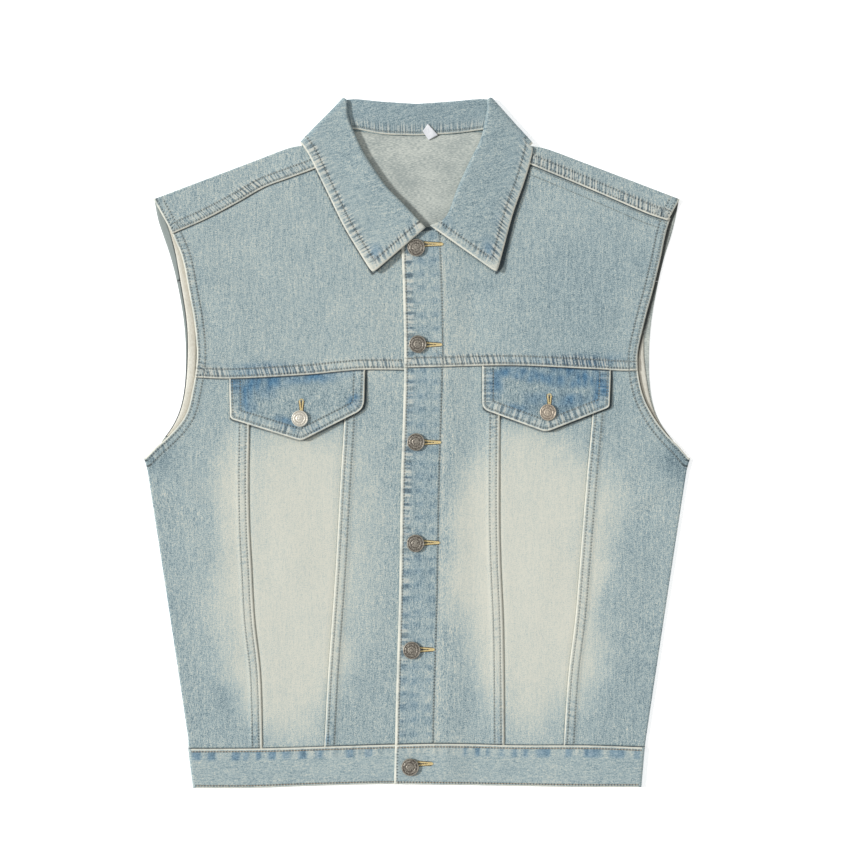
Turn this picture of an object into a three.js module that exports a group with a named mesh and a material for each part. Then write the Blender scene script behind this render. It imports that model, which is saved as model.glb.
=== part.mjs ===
// A sleeveless denim vest, laid flat on its back and buttoned up, in millimetres. +X runs to the wearer's
// left, +Y to the collar and +Z up. Each cut piece is its own closed wall of cloth. The pieces lie 0.3 mm
// apart at their seams, and the back rests on z = 0.
import * as THREE from "three";

// Short rows of values under named columns, as one object a row
function table(names, ...rows) {
  const columns = names.split(" ");
  return rows.map((row) => Object.fromEntries(columns.map((name, i) => [name, row[i]])));
}

// Cloth thicknesses and the spaces between layers
const PLY = 1.2;
const TWO_PLY = 2.2;
const COLLAR_PLY = 1.8;
const FACING_PLY = 1;
const GAP = 0.3;
const HOLLOW = 1.8;
const SWELL = 0.8;
const SWELL_FROM_SIDE = 70;
const SWELL_FROM_PLACKET = 60;

// Widths of the doubled, stitched borders and how much they stand above the single cloth
const CHEST_BAND = { width: 10, height: 0.6 };
const FELL_BAND = { width: 11, height: 0.5 };
const HEM_BAND = { width: 12, height: 0.4 };
const PLACKET_BAND = { width: 37, height: 0.6 };
const BAND_FADE = 2;

// Fronts: the wearer's left laps over the right along the placket
const LAP_RISE = 2.1;
const LAP_START = 60;
const LAP_FULL = 24;
const UNDERLAP = 35;
const BAND_UNDERLAP = 33;

// Side fold: the front panels turn under the edge and meet the back at the side seam
const SIDE_TURN = 10;
const UNDERARM = -16;
const UNDERARM_EDGE = -15;

// Body outline by height: the outer edge of the folded sides
const SIDES = table(
  "y right left",
  [-15, -274, 274],
  [-22, -271.5, 271.7],
  [-30, -269.7, 269.7],
  [-298, -229, 229],
  [-308, -229, 228],
  [-345, -223.5, 224.5],
);

// Armholes by height: the front edge lies inside the back edge, which shows past it
const ARMHOLE = table(
  "y rightFront rightBack leftFront leftBack",
  [242, -261.7, -261.7, 261.8, 261.8],
  [222, -250.5, -258, 253, 258],
  [206, -244, -253, 248.3, 254],
  [184, -235, -246.2, 243.7, 247.3],
  [152, -228.6, -238.7, 236, 240],
  [118, -222.6, -233.2, 227, 234.3],
  [84, -220.3, -231.5, 220.5, 232.3],
  [50, -225, -233.5, 225, 234],
  [25, -232.5, -240.3, 236.8, 240.8],
  [4, -250.5, -253.5, 253.3, 254.5],
  [-15, -274, -274, 274, 274],
);

// Shoulders: the fold, and the forward seam where the yoke strip meets the front, from the neck to the arm
const SHOULDER_FOLD = table(
  "place rightX rightY leftX leftY",
  ["arm", -261.7, 242, 261.8, 242.5],
  ["yoke", -170, 278.6, 170, 278.5],
  ["collar", -128, 294.2, 128, 293.8],
  ["under the collar", -112, 297.4, 112, 296.6],
  ["neck", -71.5, 311, 71, 310.5],
);
const FORWARD_SEAM = table(
  "rightX rightY leftX leftY",
  [-72.8, 288, 71.5, 296],
  [-101, 273.8, 98, 283.8],
  [-127.7, 263.8, 128, 271.4],
  [-152.6, 254.7, 155.2, 260.4],
  [-177.5, 240.6, 193.4, 244.2],
  [-210.7, 223.2, 231.7, 227.9],
  [-244.7, 208.3, 251, 221.5],
);
const BACK_NECK = table(
  "x y",
  [-59, 311],
  [-33, 307.4],
  [-2, 306.2],
  [38, 308],
  [59, 310.4],
);
const BACK_YOKE_SEAM = 161;

// Seams across and down the fronts
const CHEST_SEAM = table(
  "rightX rightY leftX leftY",
  [-222.5, 65.4, -16, 76.8],
  [-187, 64, 23, 77.5],
  [-111, 67.6, 96, 77.9],
  [-77, 72, 173, 74.6],
  [-53, 74.3, 205, 72.8],
  [23, 73.6, 222, 72.2],
);
const V_SEAMS = table(
  "y outerRight innerRight innerLeft outerLeft",
  [76, -167, -70.5, 83.7, 178.5],
  [22, -167.5, -72.7, 83, 175.1],
  [-34, -168.3, -76.2, 82.5, 169.9],
  [-84, -167.5, -79, 82.6, 165.8],
  [-125, -165.5, -81.3, 83.7, 162.5],
  [-178, -162.5, -85, 86, 158],
  [-233, -156.6, -89, 87, 151.3],
  [-306, -154.5, -92.8, 87.5, 146.5],
);
const FRONT_EDGE = table(
  "y x",
  [214, -16.5],
  [153, -14.1],
  [77, -12.8],
  [-38, -16],
  [-158, -18.1],
  [-258, -21.1],
  [-303, -22],
  [-345, -23],
);
const WAIST_SEAM = table(
  "x y",
  [-229, -306.9],
  [-153, -306.4],
  [-87, -304.5],
  [-23, -302.6],
  [23, -301.6],
  [97, -303.3],
  [172, -303.5],
  [228.5, -305.5],
);
const HEM = table(
  "x y",
  [-223.5, -345],
  [-169, -345],
  [-105, -342.6],
  [-20, -341],
  [79, -343],
  [167, -345],
  [224.5, -345],
);

// Collar stations from the front end to the middle of the back. The roll is where the stand turns
// over into the fall, the edge is the fall's outer edge and the seam joins the neck. bend is the
// radius of the roll, and the heights are those of the cloth's middle. The row named side is the
// fold between the leaf and the back.
const COLLAR_RIGHT = table(
  "at rollX rollY edgeX edgeY seamX seamY rollZ edgeZ seamZ bend",
  ["front", 8.6, 214, -43.6, 169.4, 3, 209, 10.6, 11, 8.6, 1],
  ["leaf", -13, 237.5, -58, 190, -24, 226, 10.6, 8.6, 6.1, 1.9],
  ["leaf", -31.5, 257, -73, 215.2, -46, 243, 10.8, 8.2, 6.1, 2.1],
  ["leaf", -50, 283.5, -88, 245.8, -64, 270, 11, 8.2, 6.1, 2.1],
  ["leaf", -62, 308.3, -101.6, 274, -69.5, 288, 10.8, 8.6, 6.3, 2],
  ["leaf", -69, 326, -109, 288.4, -69, 304, 10.2, 8.8, 6.5, 1.7],
  ["side", -73.4, 343.8, -115.4, 300.3, -64, 320, 9.6, 8.8, 6.6, 1.5],
  ["back", -60, 343, -94, 290, -58, 312, 0.9, 0.9, 3.4, 2.1],
  ["back", -33, 340.5, -55, 282, -33, 307.4, 0.9, 0.9, 3.1, 3],
  ["middle", 0, 338.2, 0, 279, 0, 306.2, 0.9, 0.9, 3, 3.2],
);
const COLLAR_LEFT = table(
  "at rollX rollY edgeX edgeY seamX seamY rollZ edgeZ seamZ bend",
  ["front", 13, 216, 78, 170.6, 19, 210, 10.6, 11.4, 8.6, 1],
  ["leaf", 29, 225.5, 87, 195, 42, 219, 10.8, 9.4, 7.4, 1.6],
  ["leaf", 41, 255, 96, 228, 58, 246, 11, 9, 6.3, 2.1],
  ["leaf", 55, 285, 107, 259, 68, 276, 11, 9, 6.1, 2.1],
  ["leaf", 63.5, 303, 113, 279, 68.5, 296, 10.6, 9, 6.3, 2],
  ["leaf", 69.5, 327, 115.6, 292, 67, 308, 10.2, 9, 6.5, 1.7],
  ["side", 74, 344, 116.3, 299.4, 63.5, 320, 9.6, 8.8, 6.6, 1.5],
  ["back", 61, 343, 94, 290, 59, 311, 0.9, 0.9, 3.4, 2.1],
  ["back", 34, 340.7, 55, 282, 36, 308.2, 0.9, 0.9, 3.1, 3],
);
const COLLAR_STEPS = 3;
const FOLD_STEPS = 4;
const ROLL_STEPS = 4;
const STAND_SHARES = [0, 0.34, 0.7];
const FALL_SHARES = [0.15, 0.4, 0.65, 0.86, 1];
const STAND_CLEARANCE = 0.6;
const NECK_CLEARANCE = 1;

// The back yoke rises over the collar's fall, which lies folded under it
const FALL_FOOT = 281;
const FALL_SEAM_LEVEL = 4.2;
const FALL_HALF_WIDTH = 118;
const FALL_FADE = 40;

// Pocket flaps: the top corners hang from the chest seam, and the lower edge comes to a soft point
const FLAPS = table(
  "side topOuter topInner outerY outerX tipX tipY innerX innerY",
  ["right", -187.7, -51.8, 26.5, -186.7, -115.4, 2.1, -53.2, 41],
  ["left", 193.9, 65.2, 36, 192.2, 128.8, 10.9, 66.2, 37],
);
const FLAP_LIFT = 1.6;

// Buttons: shank buttons with a raised rim, a ring and a dome
const BUTTON_RADIUS = 8.6;
const FRONT_BUTTONS = [
  { x: -0.7, y: 194.2 },
  { x: 0.8, y: 97.7 },
  { x: -1, y: 0 },
  { x: -1.4, y: -101.2 },
  { x: -5.2, y: -208 },
  { x: -6.7, y: -324.4 },
];
const FLAP_BUTTONS = [
  { side: "right", x: -116.9, y: 23.4 },
  { side: "left", x: 130.7, y: 29.6 },
];
const BUTTON_PROFILE = table(
  "radius z",
  [0, 0],
  [0.33, 0],
  [0.3, 1.2],
  [0.86, 1.4],
  [1, 2],
  [0.97, 2.9],
  [0.84, 3],
  [0.78, 2.5],
  [0.45, 2.8],
  [0, 3.1],
);
const BUTTON_SIDES = 16;

// Armhole facings lie on the back's inside, this far in from the armhole's edge
const FACING = { inset: 3.2, width: 8.6, top: 236, bottom: 8 };

// Blank label folded over the neck seam, corners in order round it
const LABEL = table(
  "x y",
  [5.7, 310.7],
  [11.7, 302],
  [20.9, 307],
  [10.8, 318],
);
const LABEL_SLOPE = 0.157;
const LABEL_BASE = { y: 304, z: 3.85 };

const DENIM_LOOK = { roughness: 0.92, metalness: 0, side: THREE.DoubleSide };
const denim = (color) => new THREE.MeshStandardMaterial({ color, ...DENIM_LOOK });
const FRONT_DENIM = "#a9bbc0";
const BLEACHED_DENIM = "#cfd5ce";
const FLAP_DENIM = "#8fa8b4";
const BACK_DENIM = "#b4bfbd";
const COLLAR_DENIM = "#98adb3";
const FACING_CLOTH = "#e6e5da";
const LABEL_CLOTH = "#f0f1f2";
const ANTIQUE_METAL = { color: "#8f8c82", roughness: 0.42, metalness: 1 };

const clamp01 = (value) => Math.min(1, Math.max(0, value));
const smooth = (value) => clamp01(value) ** 2 * (3 - 2 * clamp01(value));

// A value looked up in a table column by another column: a cubic through the rows, with slopes taken from
// neighbours.
function lookUp(rows, by, column) {
  const sorted = [...rows].sort((a, b) => a[by] - b[by]);
  const slope = (i) => {
    const [low, high] = [sorted[Math.max(0, i - 1)], sorted[Math.min(sorted.length - 1, i + 1)]];
    return (high[column] - low[column]) / (high[by] - low[by]);
  };
  return (value) => {
    let i = 0;
    while (i < sorted.length - 2 && value > sorted[i + 1][by]) i += 1;
    const [a, b] = [sorted[i], sorted[i + 1]];
    const span = b[by] - a[by];
    const t = clamp01((value - a[by]) / span);
    const blend = t * t * (3 - 2 * t);
    const rise = slope(i) * span * t * (1 - t) ** 2 - slope(i + 1) * span * t * t * (1 - t);
    return a[column] * (1 - blend) + b[column] * blend + rise;
  };
}

// A line through [x, y] points, measured along its length: at(share) gives the point that far along.
function measured(points) {
  const reach = [0];
  for (let i = 1; i < points.length; i += 1) {
    reach.push(reach[i - 1] + Math.hypot(points[i][0] - points[i - 1][0], points[i][1] - points[i - 1][1]));
  }
  const length = reach[reach.length - 1];
  const at = (share) => {
    let i = 1;
    while (i < points.length - 1 && reach[i] < share * length) i += 1;
    const t = clamp01((share * length - reach[i - 1]) / (reach[i] - reach[i - 1]));
    return points[i].map((value, k) => points[i - 1][k] * (1 - t) + value * t);
  };
  return { points, length, at };
}
const joined = (...lines) => measured(lines.flatMap((line, i) => line.points.slice(i ? 1 : 0)));

const LINE_STEPS = 24;
const steps = (count) => Array.from({ length: count + 1 }, (_, i) => i / count);
const ranged = (from, to) => steps(LINE_STEPS).map((t) => from + (to - from) * t);
const upward = (xOf, from, to) => measured(ranged(from, to).map((y) => [xOf(y), y]));
const across = (yOf, from, to) => measured(ranged(from, to).map((x) => [x, yOf(x)]));
const through = (points) => {
  const corners = points.map(([x, y]) => new THREE.Vector3(x, y, 0));
  const spline = new THREE.CatmullRomCurve3(corners, false, "centripetal");
  return measured(spline.getPoints(LINE_STEPS).map((p) => [p.x, p.y]));
};
const turnedRound = (line) => measured([...line.points].reverse());

// Seams and edges as functions of height or width, one for each side
const bothSides = (rows, by, right, left) => ({
  right: lookUp(rows, by, right),
  left: lookUp(rows, by, left),
});
const sideX = bothSides(SIDES, "y", "right", "left");
const armFrontX = bothSides(ARMHOLE, "y", "rightFront", "leftFront");
const armBackX = bothSides(ARMHOLE, "y", "rightBack", "leftBack");
const outerSeamX = bothSides(V_SEAMS, "y", "outerRight", "outerLeft");
const innerSeamX = bothSides(V_SEAMS, "y", "innerRight", "innerLeft");
const chestY = { right: lookUp(CHEST_SEAM, "rightX", "rightY"), left: lookUp(CHEST_SEAM, "leftX", "leftY") };
const frontEdgeX = lookUp(FRONT_EDGE, "y", "x");
const lapEdgeX = { right: (y) => frontEdgeX(y) + UNDERLAP, left: frontEdgeX };
const waistY = lookUp(WAIST_SEAM, "x", "y");
const hemY = lookUp(HEM, "x", "y");
const outward = { right: -1, left: 1 };
const CHEST_LEVEL = 72;
const WAIST_LEVEL = -305;

// Heights of the layers. The back lies on the ground but for the part over the collar's fall.
function backUnder(x, y) {
  const clear = Math.max((FALL_FOOT - y) / FALL_FADE, (Math.abs(x) - FALL_HALF_WIDTH) / FALL_FADE);
  return (COLLAR_PLY + GAP) * (1 - smooth(clear));
}
const backOver = (x, y) => backUnder(x, y) + PLY;

// The fronts lie a hollow above the back, fuller between the sides and the placket.
function frontUnder(side, x, y) {
  const inset = (sideX[side](Math.min(y, UNDERARM_EDGE)) - x) * outward[side];
  const fromPlacket = (x - lapEdgeX[side](y)) * outward[side] - PLACKET_BAND.width;
  const fromEdge = smooth(inset / SWELL_FROM_SIDE) * smooth(fromPlacket / SWELL_FROM_PLACKET);
  const lap = side === "left" ? LAP_RISE * (1 - smooth((x - LAP_FULL) / (LAP_START - LAP_FULL))) : 0;
  return backOver(x, y) + HOLLOW + SWELL * fromEdge + lap;
}

// Shares along a panel, evenly spread, with lines on both sides of each border band's step.
function spread(count, length, bands) {
  const share = (from, distance) => (from ? 1 - distance / length : distance / length);
  const marks = bands.flatMap(({ from, width }) => [share(from, width), share(from, width + BAND_FADE)]);
  const near = 0.4 / count;
  const clear = (t) => marks.every((mark) => Math.abs(mark - t) > near);
  const even = steps(count).filter((t) => t === 0 || t === 1 || clear(t));
  return [...even, ...marks.filter((mark) => mark > 0 && mark < 1)].sort((a, b) => a - b);
}

// A panel's grid of [x, y] between four border lines, each row blended from all four (a Coons patch).
function patch({ bottom, top, left, right }, us, vs) {
  const corners = [bottom.at(0), bottom.at(1), top.at(0), top.at(1)];
  return vs.map((v) =>
    us.map((u) =>
      [0, 1].map((k) => {
        const upDown = (1 - v) * bottom.at(u)[k] + v * top.at(u)[k];
        const sideways = (1 - u) * left.at(v)[k] + u * right.at(v)[k];
        const [a, b, c, d] = corners.map((corner) => corner[k]);
        return upDown + sideways - (1 - v) * ((1 - u) * a + u * b) - v * ((1 - u) * c + u * d);
      }),
    ),
  );
}

// How far the doubled borders raise a point: full height inside a band's width, fading just past it.
function bandHeight(bands, lines, u, v, [x, y]) {
  return Object.entries(bands).reduce((most, [border, { width, height }]) => {
    const share = border === "left" || border === "right" ? v : u;
    const [bx, by] = lines[border].at(share);
    const distance = Math.hypot(x - bx, y - by);
    return Math.max(most, height * (1 - smooth((distance - width) / BAND_FADE)));
  }, 0);
}

// A panel lying flat: both faces of each grid point, from the height under it, its ply and its borders.
function flatPanel(lines, columns, rows, under, thickness = PLY, bands = {}) {
  const banded = (borders) => borders.filter((border) => bands[border]).map((border) => ({
    from: border === "right" || border === "top",
    width: bands[border].width,
  }));
  const us = spread(columns, (lines.bottom.length + lines.top.length) / 2, banded(["left", "right"]));
  const vs = spread(rows, (lines.left.length + lines.right.length) / 2, banded(["bottom", "top"]));
  return patch(lines, us, vs).map((row, j) =>
    row.map((point, i) => {
      const low = under(...point);
      const rise = bandHeight(bands, lines, us[i], vs[j], point);
      return pair(point, low + thickness + rise, low);
    }),
  );
}
const pair = ([x, y], outerZ, innerZ) => ({
  outer: new THREE.Vector3(x, y, outerZ),
  inner: new THREE.Vector3(x, y, innerZ),
});

// One closed wall from grids of outer and inner points that share their meeting points: two skins, and a
// strip along every edge that only one cell has.
function wall(name, grids, material) {
  const positions = [];
  const known = new Map();
  const index = (point) => {
    const key = point.toArray().map((value) => value.toFixed(3)).join(" ");
    if (!known.has(key)) {
      known.set(key, positions.length / 3);
      positions.push(...point.toArray());
    }
    return known.get(key);
  };
  const faces = [];
  const edges = new Map();
  const quad = (a, b, c, d) => {
    faces.push(...[[a, b, c], [a, c, d]].filter((face) => new Set(face).size === 3));
  };
  for (const grid of grids) {
    for (let j = 0; j + 1 < grid.length; j += 1) {
      for (let i = 0; i + 1 < grid[j].length; i += 1) {
        const corners = [grid[j][i], grid[j][i + 1], grid[j + 1][i + 1], grid[j + 1][i]];
        const outer = corners.map((corner) => index(corner.outer));
        const inner = corners.map((corner) => index(corner.inner));
        quad(...outer);
        quad(...[...inner].reverse());
        outer.forEach((from, k) => {
          const to = outer[(k + 1) % 4];
          if (from !== to) edges.set(`${from} ${to}`, [from, to, inner[k], inner[(k + 1) % 4]]);
        });
      }
    }
  }
  for (const [from, to, innerFrom, innerTo] of edges.values()) {
    if (!edges.has(`${to} ${from}`)) quad(from, innerFrom, innerTo, to);
  }
  const geometry = new THREE.BufferGeometry();
  geometry.setAttribute("position", new THREE.Float32BufferAttribute(positions, 3));
  geometry.setIndex(faces.flat());
  geometry.computeVertexNormals();
  const mesh = new THREE.Mesh(geometry, material);
  mesh.name = name;
  return mesh;
}

// Corner heights where a seam meets an edge: walk to the crossing of y = lineY(x) and x = lineX(y).
function crossing(lineX, lineY, startY) {
  let y = startY;
  for (let i = 0; i < 12; i += 1) y = lineY(lineX(y));
  return y;
}

// Front yoke of one side, from the chest seam to the forward shoulder seam and the neck. The head of its arm
// edge leans over to the shoulder seam's end.
const ARM_LEAN = { from: 180, over: 28 };
const NECK_FOOT = 4;
function frontYoke(side) {
  const flip = outward[side];
  const armX = armFrontX[side];
  const edgeX = lapEdgeX[side];
  const seamY = (x) => chestY[side](x) + GAP / 2;
  const stations = side === "right" ? COLLAR_RIGHT : COLLAR_LEFT;
  const neck = stations.filter(({ at }) => at === "front" || at === "leaf").slice(0, 5).reverse();
  const lift = FORWARD_SEAM.map((row) => [row[`${side}X`], row[`${side}Y`] - GAP / 2]).reverse();
  const shoulder = through(lift);
  const footY = neck[neck.length - 1].seamY - NECK_FOOT;
  const innerTop = [edgeX(footY), footY];
  const beside = ({ seamX, seamY }) => [seamX + flip * NECK_CLEARANCE, seamY - NECK_CLEARANCE];
  const neckline = through([lift[lift.length - 1], ...neck.slice(1).map(beside), innerTop]);
  const armY = crossing(armX, seamY, CHEST_LEVEL);
  const edgeY = crossing(edgeX, seamY, CHEST_LEVEL);
  const topLine = joined(shoulder, neckline);
  const [headX, headY] = lift[0];
  const lean = (y) => (headX - armX(headY)) * smooth((y - ARM_LEAN.from) / ARM_LEAN.over);
  const arm = upward((y) => armX(y) + lean(y), armY, headY);
  const lap = upward(edgeX, edgeY, innerTop[1]);
  const right = side === "right";
  const lines = {
    bottom: across(seamY, right ? armX(armY) : edgeX(edgeY), right ? edgeX(edgeY) : armX(armY)),
    top: right ? topLine : turnedRound(topLine),
    left: right ? arm : lap,
    right: right ? lap : arm,
  };
  const bands = {
    bottom: CHEST_BAND,
    [right ? "left" : "right"]: HEM_BAND,
    [right ? "right" : "left"]: PLACKET_BAND,
  };
  const grid = flatPanel(lines, 12, 8, (x, y) => frontUnder(side, x, y), PLY, bands);
  return wall(`front_yoke_${side}`, [grid], denim(FRONT_DENIM));
}

// Side panel: the flat part, then the turn round the side fold to the side seam under it
function sidePanel(side) {
  const right = side === "right";
  const flip = outward[side];
  const radius = (PLY + HOLLOW) / 2;
  const inset = radius + PLY / 2;
  const foldX = (y) => sideX[side](y) - flip * inset;
  const seamX = (y) => outerSeamX[side](y) + flip * (GAP / 2);
  const topY = (x) => chestY[side](x) - GAP / 2;
  const lowY = (x) => waistY(x) + GAP;
  const underarm = [foldX(UNDERARM), UNDERARM];
  const armTop = crossing(armFrontX[side], topY, CHEST_LEVEL);
  const armLine = measured([underarm, ...upward(armFrontX[side], 0, armTop).points]);
  const foldLine = upward(foldX, crossing(foldX, lowY, WAIST_LEVEL), underarm[1]);
  const outer = joined(foldLine, armLine);
  const seam = upward(seamX, crossing(seamX, lowY, WAIST_LEVEL), crossing(seamX, topY, CHEST_LEVEL));
  const [foldFoot, seamFoot] = [outer.at(0)[0], seam.at(0)[0]];
  const [armHead, seamHead] = [outer.at(1)[0], seam.at(1)[0]];
  const lines = {
    bottom: right ? across(lowY, foldFoot, seamFoot) : across(lowY, seamFoot, foldFoot),
    top: right ? across(topY, armHead, seamHead) : across(topY, seamHead, armHead),
    left: right ? outer : seam,
    right: right ? seam : outer,
  };
  const bands = { [right ? "right" : "left"]: FELL_BAND };
  const share = foldLine.length / outer.length;
  const us = spread(5, 105, [{ from: right, width: FELL_BAND.width }]);
  const [foldRows, armRows] = [11, 7];
  const above = steps(armRows).slice(1).map((t) => share + t * (1 - share));
  const vs = [...steps(foldRows).map((t) => t * share), ...above];
  const flat = patch(lines, us, vs).map((row, j) =>
    row.map((point, i) => {
      const low = frontUnder(side, ...point);
      return pair(point, low + PLY + bandHeight(bands, lines, us[i], vs[j], point), low);
    }),
  );
  const border = flat.slice(0, foldRows + 1).map((row) => (right ? row[0] : row[row.length - 1]));
  const turn = border.map((edge, j) => {
    const { x, y } = edge.outer;
    const rise = j === foldRows ? SIDE_TURN - 1 : 0;
    const around = steps(FOLD_STEPS).slice(1).map((t) => {
      const angle = Math.PI * (0.5 - t);
      const place = (r) =>
        new THREE.Vector3(x + flip * r * Math.cos(angle), y, PLY / 2 + radius + r * Math.sin(angle));
      return { outer: place(radius + PLY / 2), inner: place(radius - PLY / 2) };
    });
    const seamPoint = pair([x - flip * SIDE_TURN, y + rise], 0, PLY);
    const strip = [edge, ...around, seamPoint];
    return right ? strip.reverse() : strip;
  });
  return wall(`front_side_panel_${side}`, [flat, turn], denim(FRONT_DENIM));
}

// Pocket panel between the V seams, and the centre panel from there to the front edge
function pocketPanel(side) {
  const right = side === "right";
  const flip = outward[side];
  const outerX = (y) => outerSeamX[side](y) - flip * (GAP / 2);
  const innerX = (y) => innerSeamX[side](y) + flip * (GAP / 2);
  const lines = between(right ? outerX : innerX, right ? innerX : outerX, side);
  const grid = flatPanel(lines, 4, 14, (x, y) => frontUnder(side, x, y));
  return wall(`pocket_panel_${side}`, [grid], denim(BLEACHED_DENIM));
}
function centrePanel(side) {
  const right = side === "right";
  const seamX = (y) => innerSeamX[side](y) - outward[side] * (GAP / 2);
  const lines = between(right ? seamX : lapEdgeX[side], right ? lapEdgeX[side] : seamX, side);
  const bands = { [right ? "left" : "right"]: FELL_BAND, [right ? "right" : "left"]: PLACKET_BAND };
  const grid = flatPanel(lines, 5, 14, (x, y) => frontUnder(side, x, y), PLY, bands);
  return wall(`front_centre_panel_${side}`, [grid], denim(FRONT_DENIM));
}
function between(leftX, rightX, side) {
  const topY = (x) => chestY[side](x) - GAP / 2;
  const lowY = (x) => waistY(x) + GAP / 2;
  const [leftFoot, rightFoot] = [leftX, rightX].map((lineX) => crossing(lineX, lowY, WAIST_LEVEL));
  const [leftHead, rightHead] = [leftX, rightX].map((lineX) => crossing(lineX, topY, CHEST_LEVEL));
  return {
    bottom: across(lowY, leftX(leftFoot), rightX(rightFoot)),
    top: across(topY, leftX(leftHead), rightX(rightHead)),
    left: upward(leftX, leftFoot, leftHead),
    right: upward(rightX, rightFoot, rightHead),
  };
}

// Back panel, from the yoke seam down to the waistband, inside the turned side seams
function backPanel() {
  const border = (side) => {
    const seamX = (y) => sideX[side](y) - outward[side] * ((PLY + HOLLOW) / 2 + PLY / 2 + SIDE_TURN + GAP);
    const seamTop = UNDERARM - 2;
    const foot = crossing(seamX, (x) => waistY(x) + GAP / 2, WAIST_LEVEL);
    const arm = upward(armBackX[side], 2, BACK_YOKE_SEAM - GAP / 2);
    return joined(upward(seamX, foot, seamTop), measured([[seamX(seamTop), seamTop], ...arm.points]));
  };
  const [left, right] = [border("right"), border("left")];
  const lines = {
    bottom: across((x) => waistY(x) + GAP / 2, left.at(0)[0], right.at(0)[0]),
    top: across(() => BACK_YOKE_SEAM - GAP / 2, left.at(1)[0], right.at(1)[0]),
    left,
    right,
  };
  return wall("back_panel", [flatPanel(lines, 12, 16, backUnder)], denim(BACK_DENIM));
}

// Back yoke: flat over the back, then turned over each shoulder fold and down to the forward seam
function backYoke() {
  const radius = (PLY + HOLLOW) / 2;
  const inset = radius + PLY / 2;
  const fold = (side) => {
    const points = SHOULDER_FOLD.map((row) => [row[`${side}X`], row[`${side}Y`]]);
    const [a, b] = [points[0], points[2]];
    const along = new THREE.Vector2(b[0] - a[0], b[1] - a[1]).normalize();
    const out = new THREE.Vector2(along.y, -along.x).multiplyScalar(outward[side]);
    return { out, line: through(points.map(([x, y]) => [x - out.x * inset, y - out.y * inset])) };
  };
  const folds = { right: fold("right"), left: fold("left") };
  const leftFold = measured([...folds.left.line.points].reverse());
  const neckPoints = BACK_NECK.map(({ x, y }) => [x, y - GAP]);
  const neck = through([folds.right.line.at(1), ...neckPoints, leftFold.at(0)]);
  const top = joined(folds.right.line, neck, leftFold);
  const border = (side) => {
    const [x, y] = folds[side].line.at(0);
    const low = BACK_YOKE_SEAM + GAP / 2;
    const lean = (py) => (x - armBackX[side](y)) * smooth((py - low) / (y - low));
    return upward((py) => armBackX[side](py) + lean(py), low, y);
  };
  const feet = { right: armBackX.right(BACK_YOKE_SEAM), left: armBackX.left(BACK_YOKE_SEAM) };
  const lines = {
    bottom: across(() => BACK_YOKE_SEAM + GAP / 2, feet.right, feet.left),
    top,
    left: border("right"),
    right: border("left"),
  };
  const [foldShare, neckShare] = [folds.right.line.length / top.length, neck.length / top.length];
  const [foldColumns, neckColumns] = [9, 8];
  const us = [
    ...steps(foldColumns).map((t) => t * foldShare),
    ...steps(neckColumns).slice(1).map((t) => foldShare + t * neckShare),
    ...steps(foldColumns).slice(1).map((t) => foldShare + neckShare + t * (1 - foldShare - neckShare)),
  ];
  const faces = ([x, y]) => pair([x, y], backOver(x, y), backUnder(x, y));
  const flat = patch(lines, us, steps(7)).map((row) => row.map(faces));
  const head = flat[flat.length - 1];
  const strip = (side) => {
    const columns = side === "right" ? head.slice(0, foldColumns + 1) : head.slice(-foldColumns - 1);
    const lift = FORWARD_SEAM.map((row) => [row[`${side}X`], row[`${side}Y`] + GAP / 2]);
    const seam = side === "right" ? through([...lift].reverse()) : through(lift);
    const { out } = folds[side];
    const rows = steps(FOLD_STEPS).slice(1).map((t) => {
      const angle = Math.PI * (t - 0.5);
      return columns.map(({ inner }) => {
        const place = (r) => new THREE.Vector3(
          inner.x + out.x * r * Math.cos(angle),
          inner.y + out.y * r * Math.cos(angle),
          inner.z + PLY / 2 + radius + r * Math.sin(angle),
        );
        return { outer: place(radius - PLY / 2), inner: place(radius + PLY / 2) };
      });
    });
    const folded = rows[rows.length - 1];
    const stripLength = 30;
    const shares = spread(4, stripLength, [{ from: true, width: CHEST_BAND.width }]).slice(1);
    const front = shares.map((share) =>
      folded.map(({ outer, inner }, i) => {
        const [sx, sy] = seam.at(i / foldColumns);
        const point = [outer.x * (1 - share) + sx * share, outer.y * (1 - share) + sy * share];
        const distance = (1 - share) * stripLength;
        const ridge = CHEST_BAND.height * (1 - smooth((distance - CHEST_BAND.width) / BAND_FADE));
        const goal = frontUnder(side, ...point);
        const low = outer.z * (1 - share) + goal * share;
        return pair(point, low, low + inner.z - outer.z + ridge);
      }),
    );
    return [columns, ...rows, ...front];
  };
  return wall("back_yoke", [flat, strip("right"), strip("left")], denim(BACK_DENIM));
}

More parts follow.
